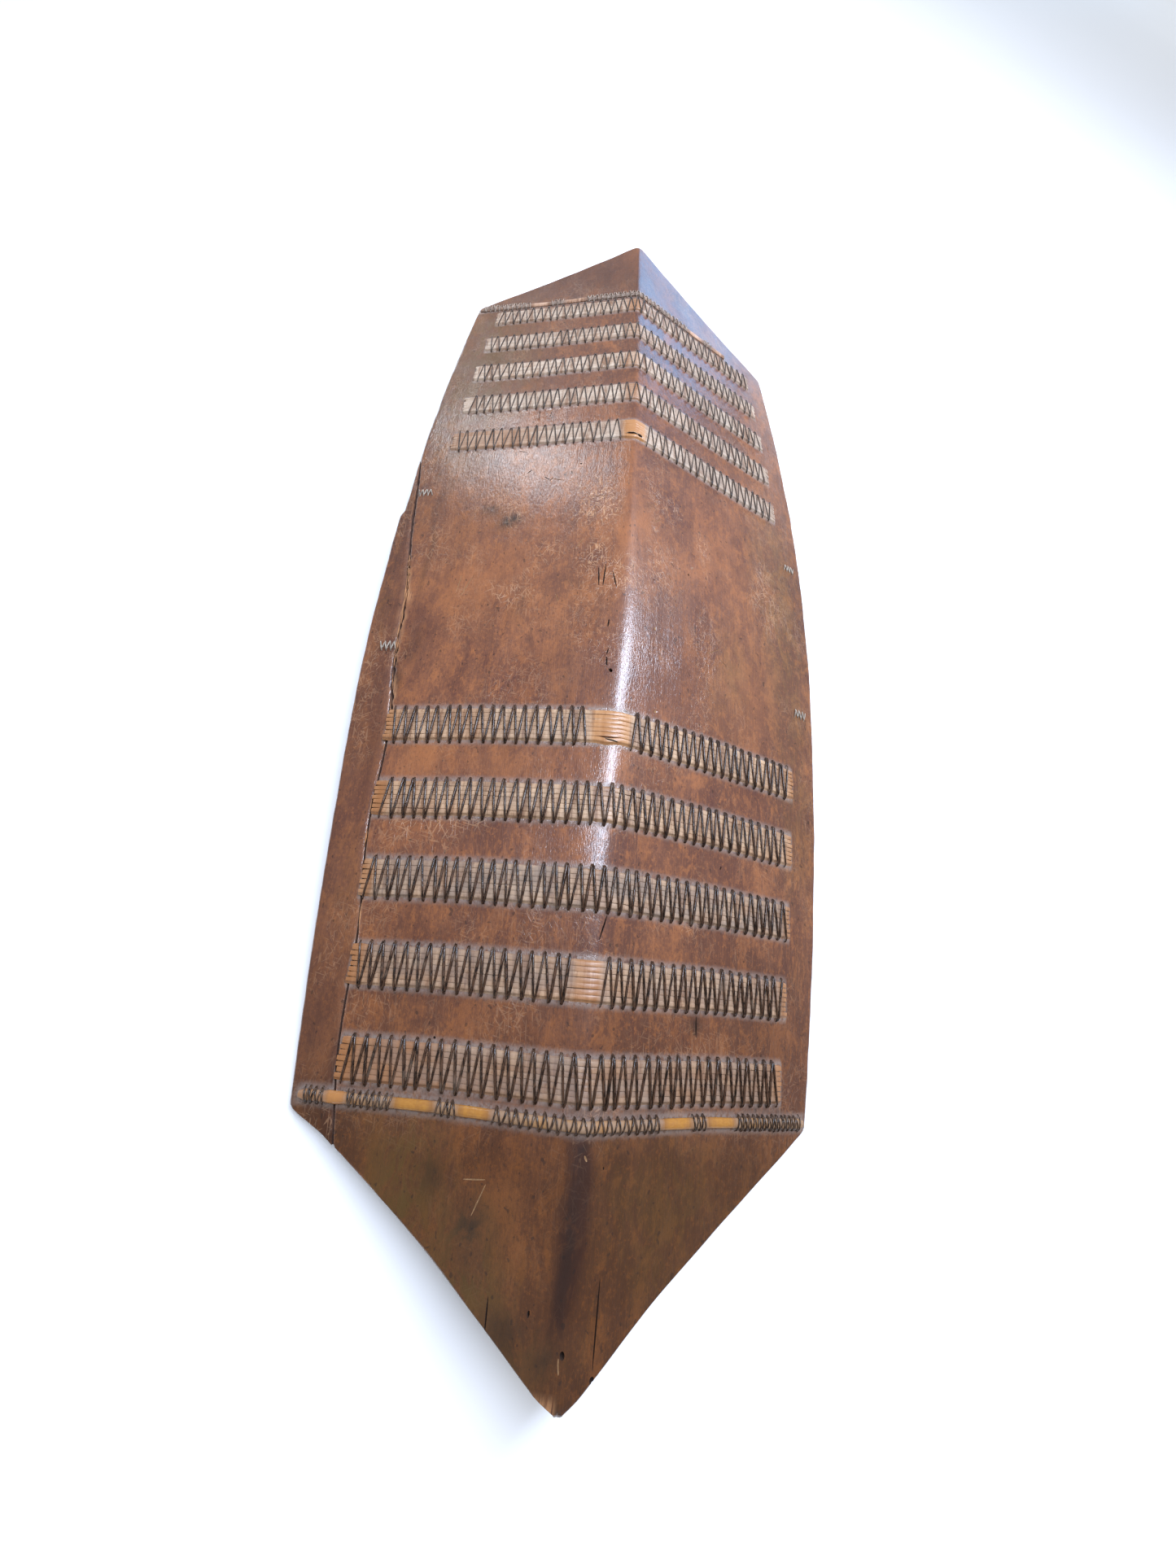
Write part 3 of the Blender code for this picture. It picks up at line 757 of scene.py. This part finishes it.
def stripSlice(y, start):
    # its outer edge moved out and its inner one torn, with a tongue that closes the split below; the tongue
    # later takes the painted shade of the split
    moved = split["moved"] * clamp((split["movedFrom"] - y) / 0.006) * ease(start, -halfSpan, y)
    outer = edgeHalf(y, -1) + moved + edgeWear(y, 1) * clamp((split["top"] - y) / 0.01)
    torn = (0.0003 + tear(y, 40) * 0.8) * clamp(stripWidth(y) / 0.004)
    inner = min(splitHalf(y) + torn, outer - 0.0004)
    drop = strip["drop"] * clamp((y - start) / 0.004, 0.3)
    r = min(shield["edgeRound"], (outer - inner) * 0.35)
    centre, width = outer - r, outer - r - inner
    tongue = min(boardLeft(y) - 0.0004, inner)

    def onTop(x, below=0.0):
        return x, faceZ(x, y) - drop - below

    def onBack(x, above=0.0):
        return x, backZ(x, y) + above

    points = []
    for turn in (-90, -60, -30, 0, 1, 30, 60, 90):
        a = math.radians(turn)
        middle = backZ(centre, y) + r if turn < 1 else faceZ(centre, y) - drop - r
        points.append((centre + r * math.cos(a), middle + r * math.sin(a)))
    points += [onTop(inner + width * s) for s in (0.75, 0.5, 0.25, 0.06)]
    points += [onTop(inner, 0.0006), (tongue, onTop(inner, strip["tongue"])[1])]
    points += [(tongue, onBack(inner, 0.0020)[1]), onBack(inner, 0.0006)]
    points += [onBack(inner + width * s) for s in (0.1, 0.6)]
    return [Vector((-x, y, z)) for x, z in points]


def splitSpan():
    # from where the split leaves the near point to where the strip has thinned away
    y = -halfSpan
    while edgeHalf(y, -1) > splitHalf(y):
        y -= 0.0002
    end = split["movedFrom"]
    while stripWidth(end) > 0.0005:
        end += 0.0002
    return y + 0.0002, end


def stripRaw(x, y):
    reach = 0.0014 + 0.002 * rawShare(y)
    return rawFibre(y) * clamp(0.4 + 0.9 * wobble(y * 60, 4)) * (1 - ease(0, reach, -x - splitHalf(y)))


stripPaint = dict(
    stain=lambda x, y: clamp(0.35 + 0.5 * wobble(x * 60, y * 8)),
    grime=lambda x, y: clamp(0.3 * wobble(x * 80, y * 12, 5)),
    wear=lambda x, y: clamp(0.5 * wobble(x * 90, y * 6, 9)),
    olive=lambda x, y: 0.1, scuffed=lambda x, y: 0.35, darkTone=darkTone, raw=stripRaw,
)


def makeStrip():
    start, stop = splitSpan()
    rows = [start + (stop - start) * k / strip["rows"] for k in range(strip["rows"] + 1)]
    slices = [stripSlice(y, start) for y in rows]
    bm = bmesh.new()
    rolledGrid(bm, len(slices[0]), len(rows) - 1, lambda i, k: slices[k][i])
    tornFibres(bm)
    piece = finished("splitStrip", bm, ["split_edge_strip"], carvedWood("splitWood"), sharp=50)
    paintFace(piece, "beyond")
    for name, rule in stripPaint.items():
        paint(piece, name, lambda x, y, z: rule(x, y))
    # painted shade on the inner side and the tongue of the strip
    paintSplitShade(piece, lambda x, y, z: -x < splitHalf(y) + 0.0008 and z < frontZ(x, y) - board["splitDepth"])
    for raw, fibre in zip(piece.data.attributes["raw"].data, piece.data.attributes["fibre"].data):
        raw.value = max(raw.value, fibre.value)
    print("split strip:", len(piece.data.polygons), "faces")


makeStrip()

caneLook = dict(
    brown=tint(112, 80, 58), patch=tint(150, 104, 68), darkTone=tint(118, 80, 54), bare=tint(178, 126, 78),
    orange=tint(148, 97, 56), dust=tint(124, 111, 101), rodDust=tint(140, 117, 98),
)


def caneMaterial(name, base, pale, roughness, dust=caneLook["dust"], stripes=1.0):
    # split cane: fibres run along the strip, dust lies between and on the splints
    material, shader, where = newMaterial(name, roughness)
    fibres = grain(where, (18, 900, 900), detail=3, rough=0.65)
    patches = grain(where, (75, 75, 75), detail=5, rough=0.7)
    columns = grain(where, (210, 22, 60), detail=4, rough=0.7)
    colour = blend(spread(fibres, 0.32, 0.68, 0.3, 0.7), base, pale)
    colour = blend(spread(columns, 0.50, 0.60, 0, 0.75 * stripes), colour, pale)
    colour = blend(spread(columns, 0.48, 0.40, 0, 0.8 * stripes), colour, caneLook["brown"])
    colour = blend(spread(patches, 0.5, 0.7, 0, 0.45), colour, caneLook["patch"])
    for area, strength, shade in (("tone", 0.45, "darkTone"), ("bare", 0.85, "bare"), ("orange", 0.85, "orange")):
        colour = blend(times(attribute(where, area), strength), colour, caneLook[shade])
    dusty = times(spread(patches, 0.35, 0.58, 0.4, 1), attribute(where, "dust"))
    colour = blend(dusty, colour, dust)
    plug(shader, Base_Color=colour)
    polished = times(attribute(where, "bare"), 0.14)
    rough = maths("SUBTRACT", spread(dusty, 0.0, 0.7, roughness, 0.75), polished)
    plug(shader, Roughness=rough)
    bumped(shader, plus(fibres, times(patches, 0.7)), 0.3, 0.0005)
    return material


splitCane = caneMaterial("splitCane", tint(140, 102, 70), tint(206, 174, 142), 0.38)
paleCane = caneMaterial("paleCane", tint(158, 132, 110), tint(206, 188, 168), 0.38)
rodCane = caneMaterial("rodCane", tint(150, 98, 40), tint(180, 130, 62), 0.22, caneLook["rodDust"], 0.2)
dustyRodCane = caneMaterial("dustyRodCane", tint(160, 122, 96), tint(200, 164, 138), 0.42)

bands = dict(
    nearWidth=0.0252, farWidth=0.0250, splints=7, thickness=0.0022, clear=0.0002, nearRaised=0.0012,
    farRaised=0.0004, sprung=0.0016, rows=76, around=14, seed=300,
)
bandShade = {6: -0.2, 7: -0.1, 8: 0.1, 9: 0.5, 10: 0.9}  # how much browner or paler a near band is
# how dusty each band is, and how orange the left end and the crown of some
bandDust = {1: 0.15, 2: 0.25, 3: 0.1, 4: 0.25, 5: 0.3, 6: 0.3, 7: 0.3, 8: 0.75, 9: 0.55, 10: 0.5}
leftOrange = {5: 0.5, 6: 0.25, 7: 0.3, 8: 0.2, 10: 0.85}
crownOrange = {1: 0.8, 4: 0.8, 10: 0.0}
# slits and holes in the cane, written as the nicks are
caneSlits = {
    5: [(-1.5, 156.6, 1, 6.6, 4, 84), (4.8, 155.8, 2.8, 1.9, 4, 0)],
    6: [(-3, -177.2, 0.6, 5.5, 4, 80)],
}
openEnds = {5: -0.002, 6: -0.006}  # where the nearest splint has sprung away from the rest
bareSpots = {5: (-0.010, 0.011), 6: (-0.018, 0.011), 9: (-0.0145, 0.003)}
bareLight = {5: 1.0, 6: 0.8, 9: 0.3}  # how pale the cane shows there


def bentShare(k, count):
    # steps from -1 to 1, closest together at the ridge
    s = 2 * k / count - 1
    return math.copysign(abs(s) ** 1.3, s)


def caneLayers(bm):
    # what the cane's material reads at each point
    return [bm.verts.layers.float.new(name) for name in ("tone", "bare", "orange", "dust")]


def rounded(turn, power):
    # a circle squared up: less power, flatter sides
    return (math.copysign(abs(math.cos(turn)) ** power, math.cos(turn)),
            math.copysign(abs(math.sin(turn)) ** power, math.sin(turn)))


def makeBand(number, middle):
    random.seed(bands["seed"] + number)
    near = number > layout["farBands"]
    half = outlineHalf(middle) - layout["bandInset"]
    width = bands["nearWidth"] if near else bands["farWidth"]
    pitch = width / bands["splints"]
    bm = bmesh.new()
    tone, bare, orange, dust = caneLayers(bm)
    start, stop = bareSpots.get(number, (1, -1))

    def inBareSpot(x):
        return ease(start - 0.003, start + 0.002, x) * (1 - ease(stop - 0.002, stop + 0.003, x))

    for j in range(bands["splints"]):
        across = pitch * (j + 0.5) - width / 2
        shade, phase = random.random(), random.uniform(0, 50)
        left, right = half - random.uniform(-0.0012, 0.0008), half + random.uniform(-0.0008, 0.0010)
        raised = random.uniform(0.2, 1.0) * bands["nearRaised" if near else "farRaised"]

        def spot(i, k):
            s = bentShare(k, bands["rows"])
            x = s * (right if s > 0 else left)
            turn = math.tau * (i + 0.5) / bands["around"]
            squash = clamp((1 - abs(s)) * half / 0.0010, 0.6) ** 0.5
            wide = pitch * (0.515 - 0.015 * inBareSpot(x)) * squash * (1 + 0.02 * wobble(x * 60, phase))
            thick = bands["thickness"] * (0.9 + 0.1 * wobble(x * 30, phase, 3)) * squash
            apart = hump(x, openEnds[number], 0.006) if j == 0 and number in openEnds else 0
            rim = j in (0, bands["splints"] - 1) and (j == 0) == (math.cos(turn) < 0)
            side, rise = rounded(turn, 0.75 if rim else 0.22)
            if rim and math.sin(turn) < 0:
                side = math.copysign(1 - 0.9 * math.sin(turn), side)
            y = bandCourse(middle, x) + across + 0.0002 * wobble(x * 25, phase, 7) + wide * side
            y -= bands["sprung"] * apart
            up = thick * (0.5 + (0.5 if turn < math.pi else 0.85) * rise)
            lifted = raised * ease(half - 0.012, half, -x)
            return Vector((x, y, faceZ(x, bandCourse(middle, x) + across) + bands["clear"] + up + lifted))

        for vert in rolledGrid(bm, bands["around"], bands["rows"], spot):
            x, y = vert.co.x, vert.co.y
            shown = inBareSpot(x)
            clean = max(1 - ease(0.004, 0.018, x + half), 1 - ease(0.002, 0.010, half - x)) if near else 0
            crown = crownOrange.get(number, 0.45) * (1 - ease(0.006, 0.011, abs(x + 0.004)))
            leftward = leftOrange.get(number, 0) * (1 - ease(-0.14, -0.05, x))
            dusty = max(bandDust[number], 0 if near else 0.62 * ease(0.0, 0.08, x))
            streak = 0.3 * clamp(0.5 + wobble(x * 20, phase))
            patchy = clamp(0.8 + 0.5 * wobble(x * 30, y * 90, number))
            vert[tone] = max(shade * 0.6 + streak + bandShade.get(number, 0.2), 0)
            vert[bare] = shown * bareLight.get(number, 0)
            vert[orange] = clamp(max(clean, crown, leftward) + 0.3 * wobble(x * 22, y * 60, number))
            vert[dust] = dusty * (1 - 0.9 * max(shown, clean)) * patchy
    cane = splitCane if near else paleCane
    piece = finished(f"caneBand{number:02d}", bm, [f"cane_band_{number:02d}"], cane)
    if number in caneSlits:
        # the slits in the cane, their insides in painted shade
        cutAndJoin(piece, nickCutters(caneSlits[number]), holeShade, "DIFFERENCE", overlapping=True)
        smoothed(piece, 40)


for number, middle in bandMiddles.items():
    makeBand(number, middle)
print("cane bands made")


def cordMaterial(name, base, pale, roughness):
    # stiff plied cord, dark with a greyish shine and dust in its hollows
    material, shader, where = newMaterial(name, roughness)
    strands = grain(where, (900, 160, 900), detail=2, distort=0.5)
    patches = grain(where, (90, 90, 90), detail=3)
    shader.inputs["Specular IOR Level"].default_value = 0.5
    colour = blend(spread(strands, 0.34, 0.64), base, pale)
    colour = blend(spread(patches, 0.55, 0.75, 0, 0.4), colour, tint(122, 106, 92))
    plug(shader, Base_Color=colour)
    bumped(shader, strands, 0.45, 0.0005)
    return material


darkCord = cordMaterial("darkCord", tint(20, 10, 5), tint(78, 54, 39), 0.27)
lashCord = cordMaterial("lashCord", tint(26, 14, 8), tint(90, 68, 52), 0.32)
dustyCord = cordMaterial("dustyCord", tint(34, 24, 19), tint(82, 66, 55), 0.42)
greyCord = cordMaterial("greyCord", tint(92, 74, 62), tint(180, 162, 146), 0.6)
paleCord = cordMaterial("paleCord", tint(112, 98, 86), tint(166, 154, 140), 0.6)

lacing = dict(
    pitch=0.0087, inset=0.003, reach=0.0161, nearReach=0.0166, nearThick=0.00098, farThick=0.00064,
    lean=-0.06, stray=0.0004, uneven=0.00045, seed=500,
)


def cordPiece(name, node, runs, thick, cord):
    # round cord laid along each run of points, made a mesh
    curve = bpy.data.curves.new(name, "CURVE")
    curve.dimensions = "3D"
    curve.bevel_depth = thick
    curve.bevel_resolution = 1
    curve.use_fill_caps = True
    for points in runs:
        line = curve.splines.new("POLY")
        line.points.add(len(points) - 1)
        for knot, (co, radius) in zip(line.points, points):
            knot.co = (*co, 1)
            knot.radius = radius
    holder = placed(name, curve)
    mesh = finalMesh(holder)
    bpy.data.objects.remove(holder)
    bm = bmesh.new()
    bm.from_mesh(mesh)
    bpy.data.meshes.remove(mesh)
    bmesh.ops.remove_doubles(bm, verts=bm.verts, dist=1e-6)
    finished(name, bm, [node], cord, sharp=70)


def halfTurns(start, stop, pitch):
    # numbers of the places where the cord goes through the board, one side and the other in turn
    first, last = math.ceil(2 * start / pitch), math.floor(2 * stop / pitch)
    return [(k, 1 if k % 2 == 0 else -1) for k in range(first, last + 1)]


def knotsAlong(start, stop, pitch, stray):
    return [(k * pitch / 2 + random.gauss(0, stray), side) for k, side in halfTurns(start, stop, pitch)]


def mirroredHeights(*half):
    # heights over the face from one hole up to the middle, and down again on the other side
    return [*half, *((-t, height) for t, height in reversed(half) if t < 0)]


def behind(way, knots, reach, deep, shallow, stray=0.0):
    # the cord behind the board along both rows of holes, pulled in where it comes through from the other row
    runs = []
    for side in (-1, 1):
        line = []
        for x, at, *_ in knots:
            y = course(*way, x) + side * reach
            z = backZ(x, y) - (deep if at == side else shallow)
            line.append((Vector((x, y + stray * wobble(x * 99, side), z)), 0.85))
        runs.append(line)
    return runs


def stroke(way, xa, xb, side, heights, reach, seed, fat, tip=0.5):
    # one stroke of cord across a band or rod, pulled thin where it goes into its holes
    points = []
    for t, height in heights:
        x = xa + (xb - xa) * (t + 1) / 2
        y = course(*way, x) - t * side * reach
        bend = 0.00015 * wobble(x * 150, seed)
        radius = fat * (tip + (1 - tip) * (1 - abs(t) ** 5)) * (1 + 0.12 * wobble(x * 90, seed, 4))
        points.append((Vector((x + bend, y, faceZ(x, y) + height)), radius))
    return points


def zigzag(way, knots, heights, part, seed, drawn):
    # strokes from knot to knot; drawn gives the reach and thickness of each
    runs = []
    for first, second in zip(knots, knots[1:]):
        reach, fat = drawn(first, second)
        runs.append(stroke(way, first[0] + part, second[0] - part, first[1], heights, reach, seed, fat))
    return runs


def makeLacing(number, suffix, start, stop):
    random.seed(lacing["seed"] + number)
    middle = bandMiddles[number]
    near = number > layout["farBands"]
    thick = lacing["nearThick"] if near else lacing["farThick"]
    top = bands["thickness"] + thick * 0.9
    heights = mirroredHeights((-1.0, -0.0022), (-0.985, 0.0006), (-0.93, top * 0.72), (-0.82, top + 0.0003),
                              (-0.3, top))
    turns = []
    lean = lacing["lean"] if near else 0.0
    for k, side in halfTurns(start, stop, lacing["pitch"]):
        x = (k + side * lean) * lacing["pitch"] / 2 + random.gauss(0, lacing["stray"])
        x += 0.0009 * wobble(x * 55, number, 8)
        turns.append((x, side, random.gauss(0, lacing["uneven"])))
    base = lacing["nearReach"] if near else lacing["reach"]
    way = (middle, layout["bandSag"], 0)
    runs = zigzag(way, turns, heights, thick * 0.45, number,
                  lambda a, b: (base + (a[2] + b[2]) / 2, random.uniform(0.82, 1.15)))
    runs += behind(way, turns, lacing["reach"], 0.0012, 0.0004, 0.0003)
    name = f"lacing{number:02d}{suffix.title().replace('_', '')}"
    cordPiece(name, f"lacing_{number:02d}{suffix}", runs, thick, darkCord if near else dustyCord)


for number, middle in bandMiddles.items():
    half = outlineHalf(middle) - layout["bandInset"] - lacing["inset"]
    if number in bareSpots:
        left, right = bareSpots[number]
        makeLacing(number, "_left", -half, left)
        makeLacing(number, "_right", right, half)
    else:
        makeLacing(number, "", -half, half)
print("lacing made")

rodShape = dict(rows=110, around=14, frayReach=0.007)
lashing = dict(reach=0.0056, under=0.0053, start=0.0027, stray=0.0003)
# bare: stretches of the rod without lashing, as shares of half its length
rods = dict(
    far=dict(
        middle=layout["rodMiddle"], skew=0.0, cane=dustyRodCane, cord=greyCord, pitches=(0.0054,) * 4,
        thick=0.00052, width=0.0060, height=0.0036, sunk=0.0008,
        frayed=math.inf, right=layout["farBreak"], seed=701,
        bare=((-0.668, -0.553), (-0.453, -0.323), (0.381, 0.496), (0.582, layout["farBreak"])),
    ),
    near=dict(
        middle=-layout["rodMiddle"], skew=layout["nearSkew"], cane=rodCane, cord=lashCord,
        pitches=(0.0040, 0.0044, 0.0046, 0.0060, 0.0046, 0.0046),
        thick=0.00062, width=0.0070, height=0.0048, sunk=0.0003, frayed=-0.1615, right=1.0, seed=700,
        bare=((-0.898, -0.827), (-0.654, -0.51), (-0.424, -0.309), (0.309, 0.438), (0.51, 0.64)),
    ),
)


def rodWay(rod):
    return rod["middle"], layout["rodSag"], rod["skew"]


def makeRod(name, rod):
    half = outlineHalf(rod["middle"]) - layout["rodInset"]
    rows, around = rodShape["rows"], rodShape["around"]
    width, height = rod["width"], rod["height"]

    def spot(i, k):
        s = bentShare(k, rows)
        broken = s > 0 and rod["right"] < 1
        x = s * half * (rod["right"] if s > 0 else 1)
        if k == rows and broken:
            x += 0.0012 * wobble(i * 2.3, 4)
        turn = math.tau * (i + 0.5) / around
        closing = 1 if broken else clamp((1 - abs(s)) * half / 0.0015, 0.4) ** 0.5
        frayed = math.exp(-((x - rod["frayed"]) / rodShape["frayReach"]) ** 4)
        loose = frayed * (0.16 + 0.18 * wobble(x * 400, i * 3.7))
        fat = closing * (1 + 0.04 * wobble(x * 40, rod["middle"]) + loose)
        y = course(*rodWay(rod), x)
        z = faceZ(x, y) - rod["sunk"] + height / 2 * (1 + fat * math.sin(turn))
        return Vector((x, y + width / 2 * fat * math.cos(turn), z))

    bm = bmesh.new()
    tone, bare, orange, dust = caneLayers(bm)
    rolledGrid(bm, around, rows, spot)
    for vert in bm.verts:
        x = vert.co.x
        share = x / half
        shown = max(ease(a - 0.008, a + 0.008, share) * (1 - ease(b - 0.008, b + 0.008, share))
                    for a, b in rod["bare"])
        runEnd = min(abs(share - end) for run in rod["bare"] for end in run)
        frayed = abs(x - rod["frayed"]) < 0.0075
        vert[tone] = clamp(0.3 + 0.4 * wobble(x * 30, 2)) + 1.4 * (1 - ease(0.0, 0.03, runEnd))
        vert[bare] = 0.8 if frayed else 0.0
        vert[orange] = 0.35 if frayed else 0.9 if share < -0.9 else clamp(0.4 * wobble(x * 30, 5))
        vert[dust] = 0.8 * (1 - shown)
    finished(f"{name}CaneRod", bm, [f"{name}_cane_rod"], rod["cane"])


def makeLashings(name, rod):
    random.seed(rod["seed"])
    half = outlineHalf(rod["middle"]) - layout["rodInset"]
    starts = [lashing["start"] - half] + [b * half for _, b in rod["bare"]]
    stops = [a * half for a, _ in rod["bare"]] + [rod["right"] * half - lashing["start"]]
    over, stray = rod["height"] + rod["thick"] * 0.8, lashing["stray"]
    heights = mirroredHeights((-1.0, -0.002), (-0.97, 0.0008), (-0.78, over * 0.55), (-0.45, over * 0.92),
                              (0.0, over))
    for count, (start, stop, pitch) in enumerate(zip(starts, stops, rod["pitches"]), start=1):
        if stop < start:
            break
        knots = knotsAlong(start, stop, pitch, stray)
        runs = zigzag(rodWay(rod), knots, heights, 0.0003, 5,
                      lambda a, b: (lashing["reach"] + random.gauss(0, stray), random.uniform(0.8, 1.2)))
        runs += behind(rodWay(rod), knots, lashing["under"], 0.001, 0.0003)
        cordPiece(f"{name}RodLashing{count}", f"{name}_rod_lashing_{count}", runs, rod["thick"], rod["cord"])


for name, rod in rods.items():
    makeRod(name, rod)
    makeLashings(name, rod)
print("rods and lashings made")

stitch = dict(middle=0.090, inset=0.0085, length=0.016, reach=0.0045, pitch=0.0040, thick=0.0006, seed=90)


def makeStitch(sideName, side, placeName, middle):
    outer = outlineHalf(middle) - stitch["inset"]
    start, stop = sorted((side * outer, side * (outer - stitch["length"])))
    heights = mirroredHeights((-1, -0.001), (-0.9, 0.0005), (-0.5, 0.0009), (0, 0.0010))
    knots = knotsAlong(start, stop, stitch["pitch"], 0.0002)
    runs = zigzag((middle, 0, 0), knots, heights, 0, 11,
                  lambda a, b: (stitch["reach"] + random.gauss(0, 0.0004), 1.0))
    runs.append([(Vector((x, middle, backZ(x, middle) - 0.0005)), 1) for x, _ in knots])
    name = f"sideStitch{sideName.title()}{placeName.title()}"
    cordPiece(name, f"side_stitch_{sideName}_{placeName}", runs, stitch["thick"], paleCord)


def makeStitches():
    random.seed(stitch["seed"])
    for sideName, side in (("left", -1), ("right", 1)):
        for placeName, middle in (("far", stitch["middle"]), ("near", -stitch["middle"])):
            makeStitch(sideName, side, placeName, middle)


makeStitches()
print("side stitches made")


def makeFloor():
    bm = bmesh.new()
    bmesh.ops.create_grid(bm, x_segments=1, y_segments=1, size=6)
    material, shader, where = newMaterial("paleFloor", 0.8)
    cloudy = grain(where, (2, 2, 2), detail=2)
    plug(shader, Base_Color=blend(cloudy, (0.80, 0.80, 0.80), (0.84, 0.84, 0.84)))
    floor = helper("studioFloor", bm, material)


def areaLight(name, spot, aim, size, energy, colour, mirrored):
    data = bpy.data.lights.new(name, "AREA")
    data.shape = "RECTANGLE"
    data.size, data.size_y = size
    data.energy = energy
    data.color = colour
    lamp = placed(name, data)
    lamp.location = spot
    lamp.rotation_euler = (Vector(aim) - Vector(spot)).to_track_quat("-Z", "Y").to_euler()
    lamp.visible_glossy = mirrored


# a long lamp beside the shield that shows along the ridge, two windows beyond the far point that show on the
# left flank, a low bluish one that shows on the far right, and four soft fills that don't show in the wood:
# each lamp's place, where it points, its size, watts and colour, and whether it is mirrored
lamps = dict(
    overhead=((0.40, 0.46, 1.6), (0.34, 0.40, 0.0), (0.42, 1.80), 63, (0.71, 0.81, 1.0), True),
    farWindow=((-1.56, 3.42, 1.66), (0.0, 0.1, 0.05), (0.50, 0.76), 12.5, (0.86, 0.93, 1.0), True),
    hazeWindow=((0.89, 1.27, 1.56), (0.0, -0.1, 0.05), (0.9, 0.9), 3.6, (0.82, 0.88, 1.0), True),
    lowWindow=((1.10, 3.86, 0.36), (0.0, 0.3, 0.05), (1.3, 0.70), 7.6, (0.16, 0.52, 1.0), True),
    rightFill=((1.7, -0.3, 1.1), (0.1, -0.2, 0.05), (1.4, 1.4), 7.5, (1.0, 0.99, 0.98), False),
    nearFill=((-0.4, -2.0, 1.0), (0.0, -0.4, 0.05), (1.4, 1.0), 9, (1.0, 0.97, 0.92), False),
    softFill=((-0.5, 2.3, 1.6), (0.0, 0.0, 0.05), (1.8, 1.8), 25, (1.0, 0.97, 0.94), False),
    backFill=((2.4, 3.4, 1.8), (2.4, 4.4, 0.0), (2.0, 2.0), 30, (1.0, 1.0, 1.0), False),
)
studio = dict(airLight=0.22, lens=12.8494, sensor=36, cameraSpot=(-0.0790, -0.35967, 0.4756))
# which way the photograph's right side, bottom and depth point
photoAxes = dict(
    right=(0.978916, 0.073301, 0.190658), down=(0.13746, -0.926818, -0.349447),
    ahead=(0.15109, 0.368287, -0.917353),
)


def setStudio():
    world = bpy.data.worlds.new("studioAir")
    world.use_nodes = True
    air = world.node_tree.nodes["Background"]
    air.inputs["Color"].default_value = (1, 1, 1, 1)
    air.inputs["Strength"].default_value = studio["airLight"]
    bpy.context.scene.world = world
    for name, lamp in lamps.items():
        areaLight(name, *lamp)
    bpy.context.scene.view_settings.view_transform = "Standard"


def setCamera():
    data = bpy.data.cameras.new("photoView")
    data.lens = studio["lens"]
    data.sensor_width = studio["sensor"]
    camera = placed("photoView", data)
    right, down, ahead = (Vector(photoAxes[way]) for way in ("right", "down", "ahead"))
    turned = Matrix((right, -down, -ahead)).transposed().to_4x4()
    camera.matrix_world = Matrix.Translation(studio["cameraSpot"]) @ turned
    bpy.context.scene.camera = camera


makeFloor()
setStudio()
setCamera()
print("studio set")
